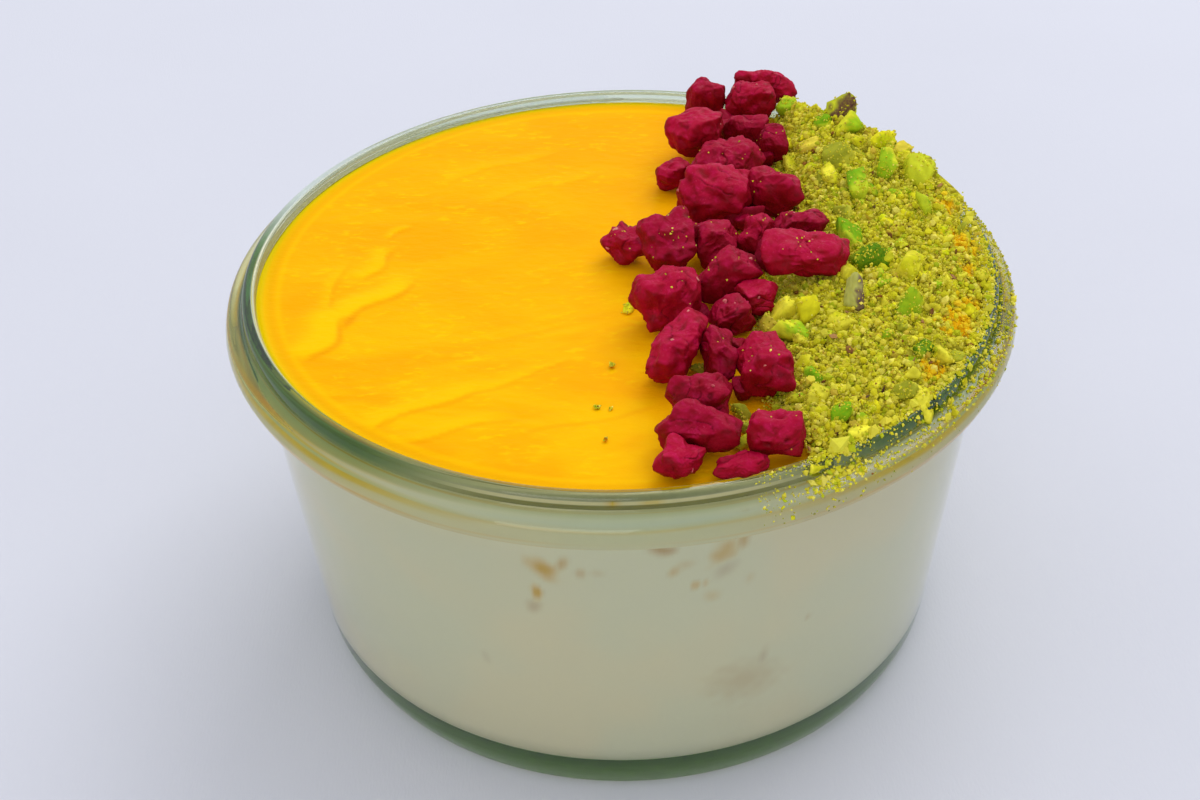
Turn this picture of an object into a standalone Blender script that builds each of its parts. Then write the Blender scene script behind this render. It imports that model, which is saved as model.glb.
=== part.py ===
"""A mango and cream dessert in a low glass jar, with a line of freeze-dried
raspberry pieces and a heap of chopped pistachio. Metres, +Z up, the jar
standing on z = 0 with its axis on the Z axis. The front of the jar is at -Y."""

import math

import bmesh
import bpy
import numpy as np

MM = 0.001
GAP = 0.3            # clearance between pieces that touch, in mm

# Jar, in mm
JAR_HEIGHT = 56.0
LIP_RADIUS = 50.3    # middle of the raised lip's round top
LIP_ROUND = 0.75     # radius of that round top
MOUTH_RADIUS = 49.2  # inner edge of the mouth
LEDGE_RADIUS = 51.5  # foot of the lip's outer side
LEDGE_TOP = 54.1
FLANGE_RADIUS = 54.0
FLANGE_MIDDLE = 51.6  # height of the flange's widest ring
FLANGE_ROUND = 1.9   # radius of the flange's round edge
NECK_RADIUS = 50.4   # outer wall just under the flange
NECK_TOP = 48.9
KNEE_RADIUS = 46.8   # outer wall where it turns in to the base
KNEE_HEIGHT = 6.0
FOOT_RADIUS = 44.8   # ring that the jar stands on
WALL = 2.5
FLOOR = 3.8
PUNT = 0.9           # hollow under the base
FOOT_WIDTH = 1.2     # flat part of the ring it stands on
PUNT_EDGE = 5.0      # from the foot's outer edge to the hollow's flat middle
INNER_ROUND = 5.0    # corner between the floor and the wall, inside
JAR_SEGMENTS = 64

# Contents, in mm
MANGO_TOP = 54.6     # where it meets the glass
MANGO_THICKNESS = 2.0
MANGO_SAG = 0.25     # its middle lies this much lower
SHOULDER = 52.0      # above this height the wall's inside bends out to the mouth
FILL_SEGMENTS = 48
MANGO_RINGS = (9.0, 18.0, 27.0, 36.0, 43.0, 47.0)

# Pistachio heap, in mm and degrees round the jar's axis
HEAP_BACK = 57.5
HEAP_FRONT = -61.5
HEAP_ROWS = 38
HEAP_COLUMNS = 9
HEAP_OVER_LIP = 10.0  # from this angle to the back the heap lies over the lip
HEAP_DEPTH = 1.9
HEAP_BACK_DEPTH = 3.6
HEAP_LEAST = 0.7     # thinnest place
HEAP_BUMPS = 0.22
OVER_LIP = 2.2       # how far it reaches out over the lip
NIB_COUNT = 50
NIB_SIZES = (1.5, 2.9)
NIB_SHAPE = (1.0, 0.75, 0.6)
NIB_CUTS = 5
NIB_SHARPNESS = 7.0
NIB_CLEAR = 0.15     # from a nib to the heap's underside

# Raspberry pieces in mm: the middle in x and y, the height of the underside over
# the mango, the length, depth and height, the turn and the lean in degrees, and
# the seed that cuts the piece.
RASPBERRIES = (
    (14.2, 43.6, 0.0, 5.6, 4.6, 5.8, 10, 0, 1),
    (23.6, 45.6, 1.4, 8.2, 3.8, 4.6, -12, 8, 2),
    (21.2, 41.2, 0.0, 7.4, 4.2, 5.8, 3, 0, 3),
    (12.6, 30.2, 0.0, 9.6, 7.4, 6.8, 32, 0, 4),
    (20.2, 32.2, 0.2, 7.4, 3.0, 4.4, -8, 0, 5),
    (23.4, 27.6, 0.0, 4.2, 4.0, 5.4, 0, 0, 6),
    (8.2, 20.8, 0.0, 4.8, 4.4, 3.6, 30, 0, 7),
    (16.4, 21.6, 0.2, 10.8, 6.0, 5.6, 8, 0, 8),
    (14.0, 11.0, 0.2, 10.2, 6.4, 6.6, 4, 12, 9),
    (21.9, 12.9, 0.0, 7.0, 5.4, 6.2, -8, 0, 10),
    (1.4, 1.3, 0.0, 5.8, 4.4, 3.6, -24, 0, 11),
    (6.8, -1.6, 0.0, 6.6, 8.2, 5.8, 16, 22, 12),
    (13.3, -0.2, 0.2, 6.0, 5.6, 5.2, 6, 0, 13),
    (18.9, 1.4, 0.2, 3.6, 5.6, 5.4, -20, 0, 14),
    (25.1, 2.5, 1.7, 7.4, 4.2, 4.0, -8, 0, 15),
    (24.7, -6.6, 2.4, 11.2, 6.4, 4.4, 6, 6, 16),
    (14.4, -9.4, 0.0, 8.8, 5.2, 6.2, 26, 10, 17),
    (6.2, -14.4, 0.0, 8.6, 6.2, 6.4, 14, 0, 18),
    (17.8, -13.2, 0.4, 5.2, 4.0, 3.4, 18, 0, 19),
    (14.3, -17.6, 0.0, 5.4, 4.4, 4.2, -8, 0, 20),
    (7.2, -24.8, 0.0, 5.0, 11.4, 5.8, -28, 0, 21),
    (12.3, -26.2, 0.0, 3.6, 8.0, 5.4, 12, 0, 22),
    (17.35, -29.3, 0.2, 5.4, 7.6, 5.8, 8, 0, 23),
    (9.7, -36.0, 0.2, 7.4, 4.4, 5.4, 8, 0, 24),
    (8.8, -41.0, 0.2, 9.4, 4.8, 5.2, -8, 8, 25),
    (6.5, -45.7, 0.0, 5.4, 4.0, 3.8, 0, 0, 26),
    (18.0, -42.6, 0.0, 6.6, 4.6, 5.2, -8, 0, 27),
    (13.3, -46.2, 0.0, 6.2, 3.0, 2.5, 6, 0, 28),
)
LARGE_PIECE = 6.0    # a piece longer than this gets the finer surface
PIECE_CUTS = 7
PIECE_SHARPNESS = 9.0
PIECE_CLEAR = 0.4    # from a piece to the mango's mean level

# Broken blocks: raspberry pieces and nibs
SIDE_TILT = 0.13
CUT_REACH = (0.84, 1.12)
DENTS = 2
DENT_DEPTH = 0.10
DENT_SPREAD = 6.0


def clear_scene():
    for thing in list(bpy.data.objects):
        bpy.data.objects.remove(thing, do_unlink=True)


def material(name, color, roughness, metallic=0.0):
    surface = bpy.data.materials.new(name)
    surface.use_nodes = True
    shader = surface.node_tree.nodes["Principled BSDF"]
    shader.inputs["Base Color"].default_value = (*color, 1.0)
    shader.inputs["Roughness"].default_value = roughness
    shader.inputs["Metallic"].default_value = metallic
    return surface


def place(name, points, faces, surface):
    """Makes one named object from points in mm."""
    mesh = bpy.data.meshes.new(name)
    mesh.from_pydata((np.asarray(points) * MM).tolist(), [], faces)
    mesh.materials.append(surface)
    mesh.validate()
    obj = bpy.data.objects.new(name, mesh)
    bpy.context.scene.collection.objects.link(obj)
    shape = bmesh.new()
    shape.from_mesh(mesh)
    bmesh.ops.recalc_face_normals(shape, faces=shape.faces)
    shape.to_mesh(mesh)
    shape.free()
    mesh.shade_smooth()
    mesh.set_sharp_from_angle(angle=math.radians(35))
    return obj


def arc(middle, radius, start, end, steps):
    """Points on an arc in the (radius, height) plane, from one angle to another."""
    angles = np.radians(np.linspace(start, end, steps + 1))
    return [
        (middle[0] + radius * math.cos(a), middle[1] + radius * math.sin(a))
        for a in angles
    ]


def turned(outline, segments):
    """Points and faces of an outline turned round the Z axis. The outline starts
    and ends on the axis."""
    angles = np.arange(segments) * 2 * math.pi / segments
    points = [(0.0, 0.0, outline[0][1])]
    for radius, height in outline[1:-1]:
        for a in angles:
            points.append((radius * math.cos(a), radius * math.sin(a), height))
    points.append((0.0, 0.0, outline[-1][1]))
    rings = len(outline) - 2
    last = len(points) - 1
    faces = []
    for j in range(segments):
        k = (j + 1) % segments
        faces.append((0, 1 + k, 1 + j))
        for i in range(rings - 1):
            low = 1 + i * segments
            high = low + segments
            faces.append((low + j, low + k, high + k, high + j))
        top = 1 + (rings - 1) * segments
        faces.append((top + j, top + k, last))
    return np.array(points), faces


def inner_radius(height):
    """Inside of the jar's wall, which leans out, and bends out further to the
    mouth above the shoulder."""
    lean = (NECK_RADIUS - KNEE_RADIUS) / (NECK_TOP - KNEE_HEIGHT)
    wall = KNEE_RADIUS + (min(height, SHOULDER) - KNEE_HEIGHT) * lean - WALL
    share = max(0.0, height - SHOULDER) / (MANGO_TOP - SHOULDER)
    return wall + (MOUTH_RADIUS - wall) * share


def inner_corner(offset):
    """Round corner between the jar's floor and its wall, moved in by an offset."""
    middle_height = FLOOR + INNER_ROUND
    middle = (inner_radius(middle_height) - INNER_ROUND, middle_height)
    return arc(middle, INNER_ROUND - offset, -90, 0, 4)


def make_jar():
    lip = (LIP_RADIUS, JAR_HEIGHT - LIP_ROUND)
    flange = (FLANGE_RADIUS - FLANGE_ROUND, FLANGE_MIDDLE)
    outline = [(0.0, PUNT), (FOOT_RADIUS - PUNT_EDGE, PUNT)]
    outline += [(FOOT_RADIUS - FOOT_WIDTH, 0.0), (FOOT_RADIUS, 0.0)]
    outline += [(KNEE_RADIUS - 1.0, 1.0), (KNEE_RADIUS - 0.4, 2.8)]
    outline += [(KNEE_RADIUS, KNEE_HEIGHT), (NECK_RADIUS, NECK_TOP)]
    outline += arc(flange, FLANGE_ROUND, -55, 75, 5)
    outline += [(LEDGE_RADIUS, LEDGE_TOP)]
    outline += arc(lip, LIP_ROUND, 10, 150, 3)
    outline += [(MOUTH_RADIUS, MANGO_TOP), (inner_radius(SHOULDER), SHOULDER)]
    outline += inner_corner(0.0)[::-1]
    outline += [(0.0, FLOOR)]
    points, faces = turned(outline, JAR_SEGMENTS)
    place("glass_jar", points, faces, material("glass", (0.45, 0.56, 0.44), 0.04))


def make_cream():
    top = MANGO_TOP - MANGO_THICKNESS - GAP
    outline = [(0.0, FLOOR + GAP)] + inner_corner(GAP)
    outline += [(inner_radius(SHOULDER) - GAP, SHOULDER)]
    outline += [(inner_radius(top) - GAP, top), (0.0, top)]
    points, faces = turned(outline, FILL_SEGMENTS)
    place("cream_filling", points, faces, material("cream", (0.84, 0.78, 0.62), 0.55))


def mango_relief(x, y):
    """Broad, low swells of the glaze, in mm."""
    swell = 0.14 * np.sin(x / 9.0 + 0.6) * np.cos(y / 12.0 - 0.4)
    return swell + 0.10 * np.sin((x + 1.6 * y) / 17.0)


def make_mango():
    low = MANGO_TOP - MANGO_THICKNESS
    middle = MANGO_TOP - MANGO_SAG
    outline = [(0.0, low), (inner_radius(low) - GAP, low)]
    outline += [(MOUTH_RADIUS - GAP - 0.1, MANGO_TOP)]
    outline += [(radius, middle) for radius in reversed(MANGO_RINGS)]
    outline += [(0.0, middle)]
    points, faces = turned(outline, FILL_SEGMENTS)
    surface = points[:, 2] > middle - GAP
    inside = surface & (np.hypot(points[:, 0], points[:, 1]) < MOUTH_RADIUS - 1.0)
    points[inside, 2] += mango_relief(points[inside, 0], points[inside, 1])
    place("mango_layer", points, faces, material("mango", (0.97, 0.46, 0.01), 0.3))


def block_grid(cuts):
    """Directions of a cube's surface grid, one for each vertex, and its faces."""
    shape = bmesh.new()
    bmesh.ops.create_cube(shape, size=2.0)
    bmesh.ops.subdivide_edges(
        shape, edges=shape.edges[:], cuts=cuts, use_grid_fill=True
    )
    shape.verts.ensure_lookup_table()
    directions = np.array([vertex.co[:] for vertex in shape.verts])
    faces = [tuple(vertex.index for vertex in face.verts) for face in shape.faces]
    shape.free()
    directions = np.tan(directions * math.pi / 4 * 0.92)
    return directions / np.linalg.norm(directions, axis=1, keepdims=True), faces


def few_sided_grid():
    """Directions and faces of an icosahedron."""
    shape = bmesh.new()
    bmesh.ops.create_icosphere(shape, subdivisions=1, radius=1.0)
    directions = np.array([vertex.co[:] for vertex in shape.verts])
    faces = [tuple(vertex.index for vertex in face.verts) for face in shape.faces]
    shape.free()
    return directions, faces


def cut_block(directions, half, seed, cuts, sharpness):
    """Radius of a broken block in each direction: the smooth meeting of the six
    sides of a box and of some random cuts across its corners."""
    rng = np.random.default_rng(seed)
    sides = np.concatenate([np.eye(3), -np.eye(3)])
    sides = sides + rng.normal(0.0, SIDE_TILT, sides.shape)
    corners = rng.normal(0.0, 1.0, (cuts, 3))
    normals = np.concatenate([sides, corners])
    normals /= np.linalg.norm(normals, axis=1, keepdims=True)
    reach = np.linalg.norm(normals * half, axis=1)
    reach[6:] *= rng.uniform(*CUT_REACH, cuts)
    facing = np.maximum(directions @ normals.T, 1e-6) / reach
    radius = (facing**sharpness).sum(axis=1) ** (-1.0 / sharpness)
    dents = rng.normal(0.0, 1.0, (DENTS, 3))
    dents /= np.linalg.norm(dents, axis=1, keepdims=True)
    near = np.exp(-DENT_SPREAD * (1.0 - directions @ dents.T)).sum(axis=1)
    return radius * (1.0 - DENT_DEPTH * near)


def turn_matrix(turn, lean):
    """Leans about X, then turns about Z."""
    a = math.radians(turn)
    b = math.radians(lean)
    about_z = np.array(
        [[math.cos(a), -math.sin(a), 0], [math.sin(a), math.cos(a), 0], [0, 0, 1]]
    )
    about_x = np.array(
        [[1, 0, 0], [0, math.cos(b), -math.sin(b)], [0, math.sin(b), math.cos(b)]]
    )
    return about_z @ about_x


def make_raspberries():
    crimson = material("raspberry", (0.38, 0.008, 0.045), 0.7)
    grids = {size: block_grid(size) for size in (2, 3)}
    for number, piece in enumerate(RASPBERRIES, start=1):
        x, y, lift, length, depth, height, turn, lean, seed = piece
        directions, faces = grids[3 if length > LARGE_PIECE else 2]
        half = np.array([length, depth, height]) / 2
        radius = cut_block(directions, half, seed, PIECE_CUTS, PIECE_SHARPNESS)
        points = directions * radius[:, None]
        low, high = points.min(axis=0), points.max(axis=0)
        points = (points - (low + high) / 2) * (2 * half / (high - low))
        points = points @ turn_matrix(turn, lean).T
        points += (x, y, MANGO_TOP + PIECE_CLEAR + lift - points[:, 2].min())
        place(f"raspberry_{number:02d}", points, faces, crimson)


def smooth_step(value, start, end):
    t = np.clip((value - start) / (end - start), 0.0, 1.0)
    return t * t * (3.0 - 2.0 * t)


def heap_edge(angle):
    """Distance in x from the jar's axis to the heap's straight side."""
    return 23.4 + 2.9 * np.tanh((angle + 15.0) / 22.0)


def heap_height(angle, radius, inward, outward):
    """Thickness of the heap over the mango: it is deepest at the back."""
    more = (HEAP_BACK_DEPTH - HEAP_DEPTH) * smooth_step(angle, 10.0, 50.0)
    depth = HEAP_DEPTH + more
    depth = depth * (0.45 + 0.55 * smooth_step(inward, 0.0, 7.0))
    depth = depth * (0.5 + 0.5 * smooth_step(outward, 0.0, 3.0))
    x = radius * np.cos(np.radians(angle))
    y = radius * np.sin(np.radians(angle))
    bumps = HEAP_BUMPS * np.sin(1.9 * x + 0.7 * y) * np.sin(1.5 * y - 0.5 * x)
    return depth + bumps * smooth_step(outward, 0.0, 2.0)


def heap_grid():
    """Rows run round the axis and columns run outwards. The last two columns lie
    over the jar's lip where the heap does."""
    angle = np.linspace(HEAP_BACK, HEAP_FRONT, HEAP_ROWS)[:, None]
    raised = smooth_step(angle, HEAP_OVER_LIP - 4.0, HEAP_OVER_LIP)
    over = smooth_step(angle, HEAP_OVER_LIP, HEAP_OVER_LIP + 5.0)
    inner = heap_edge(angle) / np.cos(np.radians(angle))
    inner = np.minimum(inner, MOUTH_RADIUS - 1.8)
    share = np.linspace(0.0, 1.0, HEAP_COLUMNS)[None, :]
    radius = inner + (MOUTH_RADIUS - 0.9 - inner) * share
    lip_foot = MOUTH_RADIUS - 0.6 + 0.0 * angle
    outside = MOUTH_RADIUS - 0.4 + (OVER_LIP + 0.4) * over
    radius = np.concatenate([radius, lip_foot, outside], axis=1)
    angle = np.broadcast_to(angle, radius.shape)
    inward = radius - radius[:, :1]
    outward = radius[:, -1:] - radius
    base = MANGO_TOP + GAP + 0.05 + np.zeros(radius.shape)
    lip_clear = JAR_HEIGHT + GAP + 0.05
    base[:, -2:] += (lip_clear - base[:, -2:]) * raised
    top = MANGO_TOP + GAP + heap_height(angle, radius, inward, outward)
    top = np.maximum(top, base + HEAP_LEAST)
    return angle, radius, base, top


def heap_core():
    angle, radius, base, top = heap_grid()
    x = radius * np.cos(np.radians(angle))
    y = radius * np.sin(np.radians(angle))
    rows, columns = radius.shape
    upper = np.stack([x, y, top], axis=-1).reshape(-1, 3)
    lower = np.stack([x, y, base], axis=-1).reshape(-1, 3)
    points = np.concatenate([upper, lower])
    count = rows * columns
    faces = []
    for i in range(rows - 1):
        for j in range(columns - 1):
            a = i * columns + j
            b, c, d = a + 1, a + columns + 1, a + columns
            faces.append((a, b, c, d))
            faces.append((count + a, count + d, count + c, count + b))
    border = [(0, j) for j in range(columns)]
    border += [(i, columns - 1) for i in range(1, rows)]
    border += [(rows - 1, j) for j in range(columns - 2, -1, -1)]
    border += [(i, 0) for i in range(rows - 2, 0, -1)]
    ring = [i * columns + j for i, j in border]
    for a, b in zip(ring, ring[1:] + ring[:1]):
        faces.append((a, count + a, count + b, b))
    return points, faces


def nib_points(rng, grid, half):
    """A broken nut piece: a box with its corners cut, turned at random."""
    directions, faces = grid
    seed = int(rng.integers(1, 10000))
    radius = cut_block(directions, half, seed, NIB_CUTS, NIB_SHARPNESS)
    turn = turn_matrix(rng.uniform(0, 360), rng.uniform(-35, 35))
    return (directions * radius[:, None]) @ turn.T, faces


def keep_largest_shell(mesh):
    """Drops loose scraps and the walls of hollows that the fusing has sealed."""
    shape = bmesh.new()
    shape.from_mesh(mesh)
    left = set(shape.verts)
    shells = []
    while left:
        shell = {left.pop()}
        rim = list(shell)
        while rim:
            vertex = rim.pop()
            near = {edge.other_vert(vertex) for edge in vertex.link_edges} & left
            left -= near
            shell |= near
            rim += near
        shells.append(shell)
    largest = max(shells, key=len)
    dropped = [v for shell in shells if shell is not largest for v in shell]
    bmesh.ops.delete(shape, geom=dropped, context="VERTS")
    shape.to_mesh(mesh)
    shape.free()


def make_heap():
    green = material("pistachio", (0.42, 0.44, 0.05), 0.85)
    points, faces = heap_core()
    core = place("pistachio_heap", points, faces, green)
    rng = np.random.default_rng(21)
    angle, radius, base, top = heap_grid()
    grid = few_sided_grid()
    nibs = bpy.data.collections.new("nibs")
    for _ in range(NIB_COUNT):
        row = int((HEAP_ROWS - 1) * rng.uniform(0.03, 0.97) ** 1.35)
        column = int(rng.integers(3, HEAP_COLUMNS + 1))
        half = rng.uniform(*NIB_SIZES) * np.array(NIB_SHAPE)
        shape, nib_faces = nib_points(rng, grid, half)
        around = math.radians(angle[row, column])
        outwards = np.array([math.cos(around), math.sin(around)])
        shape[:, :2] += radius[row, column] * outwards
        shape[:, 2] += top[row, column] + 0.15 * half[2]
        floor = base[row, column] + NIB_CLEAR
        shape[:, 2] += max(0.0, floor - shape[:, 2].min())
        if floor < JAR_HEIGHT:
            reach = np.hypot(shape[:, 0], shape[:, 1]).max()
            shape[:, :2] -= max(0.0, reach - MOUTH_RADIUS + 0.7) * outwards
        side = heap_edge(angle[row, column]) + 0.4
        shape[:, 0] += max(0.0, side - shape[:, 0].min())
        reach = np.hypot(shape[:, 0], shape[:, 1]).max()
        if floor < JAR_HEIGHT and reach > MOUTH_RADIUS - 0.5:
            continue
        nib = place("nib", shape, nib_faces, green)
        bpy.context.scene.collection.objects.unlink(nib)
        nibs.objects.link(nib)
    union = core.modifiers.new("nibs", "BOOLEAN")
    union.operand_type = "COLLECTION"
    union.collection = nibs
    union.operation = "UNION"
    union.solver = "EXACT"
    bpy.context.view_layer.update()
    graph = bpy.context.evaluated_depsgraph_get()
    joined = bpy.data.meshes.new_from_object(core.evaluated_get(graph))
    core.modifiers.clear()
    keep_largest_shell(joined)
    core.data = joined
    for nib in list(nibs.objects):
        bpy.data.objects.remove(nib, do_unlink=True)
    bpy.data.collections.remove(nibs)


clear_scene()
make_jar()
make_cream()
make_mango()
make_heap()
make_raspberries()
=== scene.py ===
import math

import bpy
import numpy as np
from mathutils import Matrix, Vector


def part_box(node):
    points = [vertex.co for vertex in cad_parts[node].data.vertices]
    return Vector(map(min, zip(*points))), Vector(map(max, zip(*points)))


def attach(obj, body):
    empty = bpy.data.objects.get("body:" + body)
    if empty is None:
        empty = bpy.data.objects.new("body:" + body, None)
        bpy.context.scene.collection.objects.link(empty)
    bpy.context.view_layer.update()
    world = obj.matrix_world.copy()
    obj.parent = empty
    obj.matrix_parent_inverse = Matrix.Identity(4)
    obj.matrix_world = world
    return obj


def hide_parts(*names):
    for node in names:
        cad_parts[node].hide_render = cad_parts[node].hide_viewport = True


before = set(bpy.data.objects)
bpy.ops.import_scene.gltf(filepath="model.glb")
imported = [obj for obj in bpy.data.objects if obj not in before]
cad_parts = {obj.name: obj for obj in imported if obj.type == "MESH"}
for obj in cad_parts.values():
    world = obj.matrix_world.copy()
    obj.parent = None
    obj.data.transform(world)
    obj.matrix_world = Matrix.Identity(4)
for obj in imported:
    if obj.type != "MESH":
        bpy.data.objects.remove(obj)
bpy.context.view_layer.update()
mm = 0.001
print("frame loaded:", len(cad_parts), "nodes")


# ---- shader maths and meshes

class Wire:
    # One socket of a material. + - * on wires and numbers add Math nodes.
    def __init__(self, paint, socket):
        self.paint = paint
        self.socket = socket

    def math(self, operation, first, second):
        return self.paint.add("ShaderNodeMath", {"operation": operation}, {0: first, 1: second})

    def __add__(self, other):
        return self.math("ADD", self, other)

    def __radd__(self, other):
        return self.math("ADD", other, self)

    def __sub__(self, other):
        return self.math("SUBTRACT", self, other)

    def __rsub__(self, other):
        return self.math("SUBTRACT", other, self)

    def __mul__(self, other):
        return self.math("MULTIPLY", self, other)

    def __rmul__(self, other):
        return self.math("MULTIPLY", other, self)


class Paint:
    # A material, or the sky, and its node tree. Patterns of a material are laid out in millimetres.
    def __init__(self, name, sky=None):
        self.material = sky or bpy.data.materials.new(name)
        self.material.use_nodes = True
        self.tree = self.material.node_tree
        self.tree.nodes.clear()
        self.place = self.add("ShaderNodeTexCoord", output="Generated" if sky else "Object")
        if not sky:
            values = {0: self.place, "Scale": 1 / mm}
            self.place = self.add("ShaderNodeVectorMath", {"operation": "SCALE"}, values)

    def add(self, kind, settings=None, values=None, output=0):
        node = self.tree.nodes.new(kind)
        for name, value in (settings or {}).items():
            setattr(node, name, value)
        for name, value in (values or {}).items():
            if isinstance(value, Wire):
                self.tree.links.new(value.socket, node.inputs[name])
            else:
                node.inputs[name].default_value = value
        return Wire(self, node.outputs[output])

    def stretched(self, scales):
        return self.add("ShaderNodeVectorMath", {"operation": "MULTIPLY"}, {0: self.place, 1: scales})

    def noise(self, size, detail, where=None, distortion=0.0):
        values = {"Vector": where or self.place, "Scale": 1 / size, "Detail": detail, "Roughness": 0.55,
                  "Distortion": distortion}
        return self.add("ShaderNodeTexNoise", None, values, "Fac")

    def between(self, value, low, high):
        values = {"Value": value, "From Min": low, "From Max": high}
        return self.add("ShaderNodeMapRange", {"interpolation_type": "SMOOTHSTEP"}, values, "Result")

    def mix(self, share, first, second, how="MIX"):
        settings = {"data_type": "RGBA", "blend_type": how}
        first, second = (c if isinstance(c, Wire) else (*c, 1.0) for c in (first, second))
        return self.add("ShaderNodeMix", settings, {0: share, 6: first, 7: second}, 2)

    def attribute(self, name, output="Fac"):
        return self.add("ShaderNodeAttribute", {"attribute_name": name}, None, output)

    def bump(self, height, depth):
        values = {"Height": height, "Distance": depth * mm, "Strength": 1.0}
        return self.add("ShaderNodeBump", None, values, "Normal")

    def finish(self, values, volume=None):
        # values are the Principled shader's sockets
        shader = self.add("ShaderNodeBsdfPrincipled", None, values, "BSDF")
        out = self.tree.nodes.new("ShaderNodeOutputMaterial")
        self.tree.links.new(shader.socket, out.inputs["Surface"])
        if volume:
            self.tree.links.new(volume.socket, out.inputs["Volume"])
        return self.material


def makePiece(name, points, faceSets, material, smooth=True):
    # Points in mm; each face set is an array of triangles or of quads. All go in as whole arrays.
    mesh = bpy.data.meshes.new(name)
    corners = np.concatenate([faces.ravel() for faces in faceSets])
    sides = np.concatenate([np.full(len(faces), faces.shape[1]) for faces in faceSets])
    mesh.vertices.add(len(points))
    mesh.vertices.foreach_set("co", (points * mm).astype(np.float32).ravel())
    mesh.loops.add(len(corners))
    mesh.loops.foreach_set("vertex_index", corners.astype(np.int32))
    mesh.polygons.add(len(sides))
    mesh.polygons.foreach_set("loop_start", (np.cumsum(sides) - sides).astype(np.int32))
    mesh.polygons.foreach_set("use_smooth", np.full(len(sides), smooth))
    mesh.update(calc_edges=True)
    mesh.materials.append(material)
    piece = bpy.data.objects.new(name, mesh)
    bpy.context.scene.collection.objects.link(piece)
    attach(piece, "root")
    return piece


def addValues(piece, name, values):
    # one number, or one colour, for each vertex
    kind = "FLOAT" if values.ndim == 1 else "FLOAT_COLOR"
    field = "value" if values.ndim == 1 else "color"
    attribute = piece.data.attributes.new(name, kind, "POINT")
    attribute.data.foreach_set(field, values.astype(np.float32).ravel())


def rgba(colors):
    return np.concatenate([np.clip(colors, 0, 1), np.ones((len(colors), 1))], axis=1)


def smoothStep(value, start, end):
    share = np.clip((value - start) / (end - start), 0.0, 1.0)
    return share * share * (3.0 - 2.0 * share)


def unit(vectors):
    return vectors / np.linalg.norm(vectors, axis=-1, keepdims=True)


def polar(x, y):
    # Radius and angle round the jar in degrees
    return np.hypot(x, y), np.degrees(np.arctan2(y, x))


def around(radius, angle):
    # x and y at an angle round the jar in degrees
    return radius * np.cos(np.radians(angle)), radius * np.sin(np.radians(angle))


def turnFrom(angle, middle):
    # Degrees between two directions, 0 to 180
    return np.abs((angle - middle + 180.0) % 360.0 - 180.0)


def blend(first, second, share):
    share = share[..., None]
    return first * (1 - share) + np.array(second) * share


def toneAt(value, rows):
    # Rows are (value, colour), and between two rows the colours mix.
    steps, colors = zip(*rows)
    return np.stack([np.interp(value, steps, channel) for channel in zip(*colors)], axis=1)


def gridSquares(index):
    return np.stack([index[:-1, :-1], index[1:, :-1], index[1:, 1:], index[:-1, 1:]], axis=-1).reshape(-1, 4)


def ripple(points, size, seed, waves=36):
    # A random field of unit spread: the sum of plane waves with random headings, phases and lengths near size
    rng = np.random.default_rng(seed)
    heading = rng.normal(size=(points.shape[1], waves))
    heading /= np.linalg.norm(heading, axis=0)
    pace = 2 * math.pi / (size * rng.uniform(0.7, 1.5, waves))
    phase = rng.uniform(0.0, 2 * math.pi, waves)
    return np.sin(points @ (heading * pace) + phase).sum(axis=1) / math.sqrt(waves / 2)


def roundedOutline(corners):
    # Corners are (radius, height, rounding): a rounded corner becomes an arc tangent to both its sides.
    spots = np.array(corners, float)
    line = [spots[:1, :2]]
    for before, here, after in zip(spots, spots[1:], spots[2:]):
        back, ahead = unit((before - here)[:2]), unit((after - here)[:2])
        half = math.acos(np.clip(back @ ahead, -1, 1)) / 2
        if here[2] == 0 or half > 1.55:
            line.append(here[None, :2])
            continue
        middle = here[:2] + unit(back + ahead) * here[2] / math.sin(half)
        first, last = (here[:2] + way * here[2] / math.tan(half) - middle for way in (back, ahead))
        start = math.atan2(first[1], first[0])
        turn = (math.atan2(last[1], last[0]) - start + math.pi) % (2 * math.pi) - math.pi
        angles = start + turn * np.linspace(0.0, 1.0, max(3, int(abs(turn) / 0.1)))
        line.append(middle + here[2] * np.stack([np.cos(angles), np.sin(angles)], axis=1))
    line.append(spots[-1:, :2])
    return np.concatenate(line)


def turnedSurface(outline, turns):
    # The outline's (radius, height) carried round the Z axis; its first and last points are the poles.
    angles = np.arange(turns) * 2 * math.pi / turns
    rings = outline[1:-1]
    points = np.empty((len(rings), turns, 3))
    points[..., 0] = rings[:, :1] * np.cos(angles)
    points[..., 1] = rings[:, :1] * np.sin(angles)
    points[..., 2] = rings[:, 1:]
    points = points.reshape(-1, 3)
    poles = np.array([[0, 0, outline[0, 1]], [0, 0, outline[-1, 1]]])
    index = np.arange(len(rings) * turns).reshape(len(rings), turns)
    beside = np.roll(index, -1, axis=1)
    quads = np.stack([index[:-1], beside[:-1], beside[1:], index[1:]], axis=-1).reshape(-1, 4)
    low = np.full(turns, len(points))
    first = np.stack([low, beside[0], index[0]], axis=1)
    last = np.stack([low + 1, index[-1], beside[-1]], axis=1)
    return np.concatenate([points, poles]), [quads, np.concatenate([first, last])]


# ---- camera, light and floor

view = {"lens": 48.0, "sensor": 36.0, "distance": 237.6, "height": 26.5,
        "elevation": 37.9, "roll": 1.30, "pan": -0.77, "tilt": -0.89}


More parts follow.
